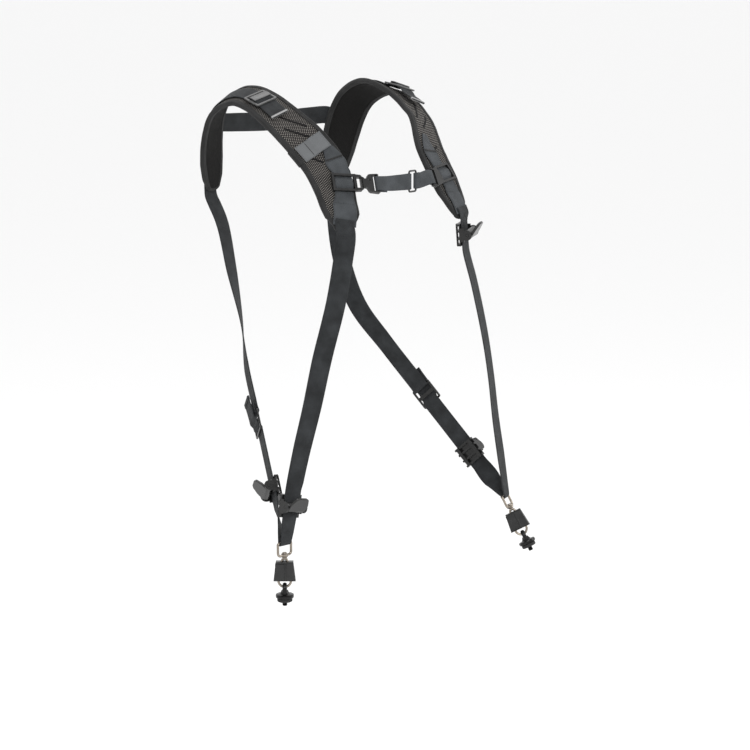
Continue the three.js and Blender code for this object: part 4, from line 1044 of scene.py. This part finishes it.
EYE_BOTTOM = -EYE_HEIGHT + EYE_WIRE / 2
HOOK_TOP = EYE_BOTTOM - 2.2 - CLEAR
HOOK_END = HOOK_TOP - HOOK_LENGTH
STUD_EYE_WIRE = 1.8
LUG_BREADTH = 1.5
HOOK_INSIDE = HOOK_END + HOOK_WIRE
STUD_EYE_TOP = HOOK_INSIDE + CLEAR + 2 * STUD_EYE_WIRE
STUD_EYE_BOTTOM = HOOK_INSIDE - HOOK_WIRE - 6
FLANGE_TOP = STUD_EYE_BOTTOM - 1.2
FLANGE_RADIUS, FLANGE_THICKNESS = 11.5, 5
WASHER_RADIUS, WASHER_THICKNESS = 9.6, 5
FLANGE_BASE = FLANGE_TOP - FLANGE_THICKNESS
STUD_RADIUS, STUD_LENGTH, THREAD_PITCH = 3.175, 5.5, 1.05


def eye_shells():
    w = (EYE_INNER + EYE_WIRE) / 2
    corners = [(-w, 0), (w, 0), (w, EYE_BOTTOM), (-w, EYE_BOTTOM)]
    low, high = EYE_BOTTOM - 2.2, EYE_BOTTOM + 2.4
    bore = HOOK_WIRE / 2 + CLEAR
    profile = [(bore, low), (3.7, low), (4.2, low + 0.5), (4.2, low + 1.6), (3.9, low + 1.9),
               (4.2, low + 2.2), (4.2, high - 0.5), (3.7, high), (bore, high), (bore, low)]
    return [tube(rounded_route(corners, (2.0, 2.0, 4.6, 4.6)), EYE_WIRE / 2), lathe(profile)]


def hook_shells():
    r = HOOK_WIRE / 2
    half_width = (HOOK_WIDTH - HOOK_WIRE) / 2
    bend = HOOK_END + r + half_width
    top = HOOK_TOP - r - 0.4

    def spread(z):
        return mix(3.2, half_width, clamp((HOOK_TOP - HOOK_WIRE - z) / (HOOK_LENGTH * 0.7)))

    leg = upright([(spread(z), z) for z in steps(top - 3.2, bend, 8)])
    turn = upright([(half_width * c, bend - half_width * s) for c, s in half_turn(16)[1:-1]])
    neck = upright([(-2.4, top - 0.5), (-1.6, top), (1.6, top), (2.4, top - 0.5)])
    route = [*neck, *leg, *turn, *[scale_x(p) for p in leg[::-1]]]
    collar = [(0, -2.6), (2.6, -2.6), (3.0, -2.2), (3.0, -0.4), (2.6, 0), (0, 0)]
    collar = [(x, HOOK_TOP + z) for x, z in collar]
    pin = [(0, HOOK_TOP - 2), (r - 0.05, HOOK_TOP - 2), (r - 0.05, EYE_BOTTOM + 3.0), (0, EYE_BOTTOM + 3.0)]
    low, high = EYE_BOTTOM + 2.4 + CLEAR, EYE_BOTTOM + 4.2
    head = [(0, low), (3.0, low), (3.0, high - 0.8), (2.5, high - 0.2), (1.6, high), (0, high)]
    return [tube(route, r), lathe(collar, 32), lathe(pin, 24), lathe(head, 32)]


def stud_shells():
    w, top = 5.4, STUD_EYE_TOP - STUD_EYE_WIRE
    arch = [Vector((0, w * c, top - w + w * s)) for c, s in half_turn(16)]
    arch += [Vector((0, -w - 0.6, STUD_EYE_BOTTOM)), Vector((0, w + 0.6, STUD_EYE_BOTTOM))]
    verts, faces, uvs = tube(arch, STUD_EYE_WIRE, side_axis=(1, 0, 0))
    end = FLANGE_BASE - WASHER_THICKNESS - STUD_LENGTH
    cone = STUD_EYE_BOTTOM + 3.6
    r = FLANGE_RADIUS
    profile = [(0, cone), (3.6, cone), (4.3, cone - 0.5), (5.2, FLANGE_TOP + 2), (6.6, FLANGE_TOP),
               (r - 1, FLANGE_TOP - 0.4), (r - 0.2, FLANGE_TOP - 0.9), (r, FLANGE_TOP - 1.6),
               (r, FLANGE_BASE + 1.0), (r - 0.3, FLANGE_BASE + 0.3), (r - 1, FLANGE_BASE),
               (STUD_RADIUS, FLANGE_BASE)]
    z = FLANGE_BASE - 0.4
    while z > end + 0.9:
        profile += [(STUD_RADIUS, z), (STUD_RADIUS - 0.45, z - 0.5), (STUD_RADIUS, z - 1.0)]
        z -= THREAD_PITCH
    profile += [(STUD_RADIUS - 0.7, end), (0, end)]
    return [([scale_x(p, LUG_BREADTH) for p in verts], faces, uvs), lathe(profile, 64)]


def washer_shells():
    high = FLANGE_BASE - CLEAR
    low = high - WASHER_THICKNESS + CLEAR
    inner, r = STUD_RADIUS + CLEAR, WASHER_RADIUS
    profile = [(inner, high), (r - 0.6, high), (r, high - 0.6), (r, low + 1.2), (r - 0.4, low + 0.4),
               (r - 1.2, low), (inner, low), (inner, high)]
    return [lathe(profile, 64)]


def connector(side):
    """The eye on the sling's fold, with the hook, its cover and the screw stud below."""
    mirror = 1 if side == "left" else -1
    eye = Matrix.Translation(scale_x(FOLD_AT, mirror))
    eye = eye @ Matrix.Rotation(mirror * rad(FOLD_TURN[side]), 4, "Z")
    eye = eye @ Matrix.Rotation(rad(EYE_TILT[side]), 4, "X")
    hook = eye @ Matrix.Rotation(rad(SWIVEL_TURN[side]), 4, "Z")
    for name, shells, at, material, body, slot, cad_node in (
        ("polished_eye", eye_shells(), eye, NICKEL, "eye", "polished_metal", "swivel_eye"),
        ("polished_hook", hook_shells(), hook, NICKEL, "hook", "polished_metal", "snap_hook"),
        ("screw_stud", stud_shells(), hook, BLACK_METAL, "stud", "black_metal", "stud_fitting"),
        ("rubber_washer", washer_shells(), hook, RUBBER, "stud", "washer_rubber", "stud_washer"),
    ):
        piece = joined(f"{name}_{side}", shells, at, material)
        place(piece, f"{body}_{side}", slot, f"{cad_node}_{side}")
        if body == "hook":
            moulded(f"lock_cover_{side}", SATIN_PLASTIC, 0.9, 3)


# Chest strap

SLIDER_OUTER = SLIDER_WEBBING / 2 + 2 * CLEAR + 2.8
BUCKLE_MIDDLE = 1.4 * CLEAR + BUCKLE_THICKNESS / 2
BAR_RADIUS = RING_BAR / 2
BAR_INSET = BAR_RADIUS + 1.4
PLUG_END = BUCKLE_REACH - SLIDER_OUTER
SLIDER_REACH = SLIDER_OUTER + 20
CHEST_BOW, CHEST_DOUBLED, LINK_DOUBLED = 3, 13, 9
RING_AT, RING_INSIDE, RING_CORNER = (21, -109, -93), 12.0, 2.4
LABEL_WIDTH, LABEL_LIFT, LABEL_LOOP = 24, 0.85, 26


def slider_frame(side):
    """The frame of the chest slider or buckle, in the place it really has on its side."""
    mirror = 1 if side == "left" else -1
    _, run, _, normal, _ = pad_frame(PLACE["slider"])
    at = pad_point(PLACE["slider"], SIDE[side]["slider"], 0)
    at, up, out = [scale_x(v, mirror) for v in (at, run, normal)]
    return basis(at, up.cross(out), up, out) @ Matrix.Rotation(mirror * rad(SLIDER_TURN), 4, "Z")


def bar_of(matrix, x, z):
    """A crossbar's place in a frame, then the ways ahead, up and out."""
    return matrix @ Vector((x, 0, z)), *[turned(matrix, way) for way in ((1, 0, 0), (0, 1, 0), (0, 0, 1))]


def strap_between(start, end, middle, doubled):
    """Webbing from bar to bar, turned back round each and doubled behind."""
    radius = BAR_RADIUS + CLEAR + HALF
    (c0, ahead0, up0, out0), (c1, ahead1, up1, out1) = start, end

    def near(bar, sign, lift, length):
        centre, ahead, up, out = bar
        return Station(centre + out * lift + ahead * (sign * length), CHEST_WEBBING, across=up)

    def under(bar, sign):
        return [near(bar, sign, -radius, share * doubled) for share in (0.3, 1)]

    first = turn_round(c0, radius, out0, -ahead0, up0, CHEST_WEBBING)[::-1]
    last = turn_round(c1, radius, out1, ahead1, up1, CHEST_WEBBING)
    long = [Station(at, CHEST_WEBBING, across=up0.lerp(up1, (i + 1) / (len(middle) + 1)).normalized())
            for i, at in enumerate(middle)]
    face = [near(start, 1, radius, 3), *long, near(end, -1, radius, 3)]
    return [*under(start, 1)[::-1], *first, *face, *last, *under(end, -1)]


def chest():
    up, ring_out = Vector((0, 0, 1)), Vector((0.12, -0.99, 0)).normalized()
    ring = basis(Vector(RING_AT), up.cross(ring_out), up, ring_out)
    plug = bar_of(slider_frame("right"), PLUG_END - BAR_INSET, BUCKLE_MIDDLE)
    link = Matrix.Translation((-SLIDER_REACH + BAR_INSET, 0, 0)) @ Matrix.Rotation(-rad(LINK_TURN), 4, "Z")
    slider = bar_of(slider_frame("left") @ link, 0, BUCKLE_MIDDLE)
    ring_x, ring_y = (RING_LENGTH - RING_BAR) / 2, RING_INSIDE + BAR_RADIUS
    ring_left = bar_of(ring, -ring_x, 0)
    bow = [plug[0].lerp(ring_left[0], s) - Vector((0, 4 * CHEST_BOW * s * (1 - s), 0))
           for s in (0.3, 0.5, 0.7)]
    stations = strap_between(plug, ring_left, bow, CHEST_DOUBLED)
    course = strap("chest_strap", stations, "left", GREY_WEBBING, "webbing", "chest_webbing",
                   seed=11, gap=1.5)
    first = CHEST_DOUBLED + math.pi * (BAR_RADIUS + CLEAR + HALF)
    lines = [course.over(first + d, 0.85) for d in (5.0, 7.0, 9.0)]
    lines += [course.over(course.length - first - d, 0.85) for d in (5.0, 7.0)]
    sewn("chest_stitches", lines, "left", length=1.8, gap=0.7, thick=0.5)
    stations = strap_between(bar_of(ring, ring_x, 0), slider, [], LINK_DOUBLED)
    course = strap("chest_link", stations, "left", GREY_WEBBING, "webbing", "chest_link_webbing",
                   seed=12, gap=1.5)
    lines = [course.over(course.length / 2 + d, 0.85) for d in (-3, 3)]
    sewn("chest_link_stitches", lines, "left", length=1.8, gap=0.7)
    for name in ("chest_buckle_socket", "chest_buckle_plug", "chest_slider"):
        moulded(name, PLASTIC, 0.55, 3)
    corners = [(-ring_x, -ring_y), (ring_x, -ring_y), (ring_x, ring_y), (-ring_x, ring_y)]
    route = [Vector((p.x, p.z, 0)) for p in rounded_route(corners, [RING_CORNER] * 4)]
    hoop = joined("strap_ring", [tube(route, BAR_RADIUS, side_axis=(0, 0, 1))], ring, PLASTIC)
    place(hoop, ROOT, "plastic", "chest_ring")


def label():
    rows = []
    for side in (-0.72, -0.5, -0.3, -0.12, 0.1, 0.3, 0.5, 0.72):
        over = THICK + 2 * CLEAR if side < 0.05 else 0
        rows.append(pad_station(PLACE["label"], side, CLEAR + LABEL_LIFT + over, LABEL_WIDTH))
    course = strap("satin_label", rows, "right", LABEL, "label", "pad_label", thickness=1.0, seed=13)
    line = [Station(p, 0.8, face=n) for p, n in course.over(course.length * 0.64, 0.8, -0.02)]
    strap("label_line", line, "right", TAPE, "label", thickness=0.3, wobble=0)
    lines = [course.over(1.6, 0.9), course.over(course.length - 1.6, 0.9)]
    lines += [course.beside(1.5, course.length - 1.5, v) for v in (-0.93, 0.93)]
    sewn("label_stitches", lines, "right", length=1.6, gap=0.8, thick=0.3)
    reach = LABEL_LOOP / 2 / PAD.length
    rows = edge_rows(PLACE["label"] - reach, PLACE["label"] + reach, 14, around=False)
    place(taped("label_loop_right", rows, "right", False, grow=0.9, seed=2), ROOT, "edge_tape")


def back_strap():
    places = ((0.35, 0), (-0.2, 0), (-0.8, 0.3), (-1.06, 0.8))
    on_pad = [pad_station(PLACE["back"], side, WEBBING_LIFT + lift) for side, lift in places]
    edge = on_pad[-1]
    middle = Station(Vector((0, edge.at.y + 10, edge.at.z - 4)), face=facing(180))
    near = Station(edge.at.lerp(middle.at, 0.3) + Vector((0, 3, 0)), face=edge.face.lerp(middle.face, 0.5))
    half = [*on_pad, near]
    stations = [*half, middle, *[Station(scale_x(s.at), face=scale_x(s.face)) for s in half[::-1]]]
    course = strap("back_strap", stations, "left", BLACK_WEBBING, "webbing", "back_link", seed=14)
    sewn("back_stitches", [*course.square(2.5, 20), *course.square(-20, -2.5)], "left")


for side in ("right", "left"):
    for build in (pad_details, pad_front_webbing, shoulder_webbing, sling, rear):
        build(side)
    moulded(f"shoulder_lock_{side}", LOCK_PLASTIC, 0.4)
    moulded(f"rear_adjuster_{side}", PLASTIC, 0.4)
    for where in ("front", "rear"):
        moulded(f"{where}_lock_base_{side}", PLASTIC, 0.3)
        moulded(f"{where}_lock_lever_{side}", SATIN_PLASTIC, 0.6, 3)
    connector(side)
chest()
label()
back_strap()

# Floor and light

FLOOR_REACH, FLOOR_HEIGHT = 120, -1.4
corners = [(x * FLOOR_REACH, y * FLOOR_REACH, FLOOR_HEIGHT) for x, y in ((-1, -1), (1, -1), (1, 1), (-1, 1))]
floor_mesh = bpy.data.meshes.new("floor")
floor_mesh.from_pydata(corners, [], [(0, 1, 2, 3)])
pale = Surface("pale_floor", Roughness=0.85, Base_Color=(0.93, 0.93, 0.93, 1))
floor_mesh.materials.append(pale.material)
floor = add_object("floor", floor_mesh)

world = bpy.data.worlds.new("studio")
world.use_nodes = True
background = world.node_tree.nodes["Background"]
background.inputs["Color"].default_value = (1, 1, 1, 1)
background.inputs["Strength"].default_value = 1.0
bpy.context.scene.world = world
bpy.context.scene.view_settings.view_transform = "Standard"


def softbox(name, at, target, size, power):
    light = bpy.data.lights.new(name, "AREA")
    light.shape = "RECTANGLE"
    light.size, light.size_y = size
    light.energy = power
    aim(add_object(name, light), at, target)


softbox("key", (-1.6, -3.0, 1.8), (0, 0, -0.3), (1.6, 1.6), 70)
softbox("side_fill", (2.6, -1.8, 0.8), (0, 0, -0.3), (1.2, 1.8), 35)
softbox("top", (0.2, 0.6, 2.4), (0, 0, -0.2), (2.0, 2.0), 30)
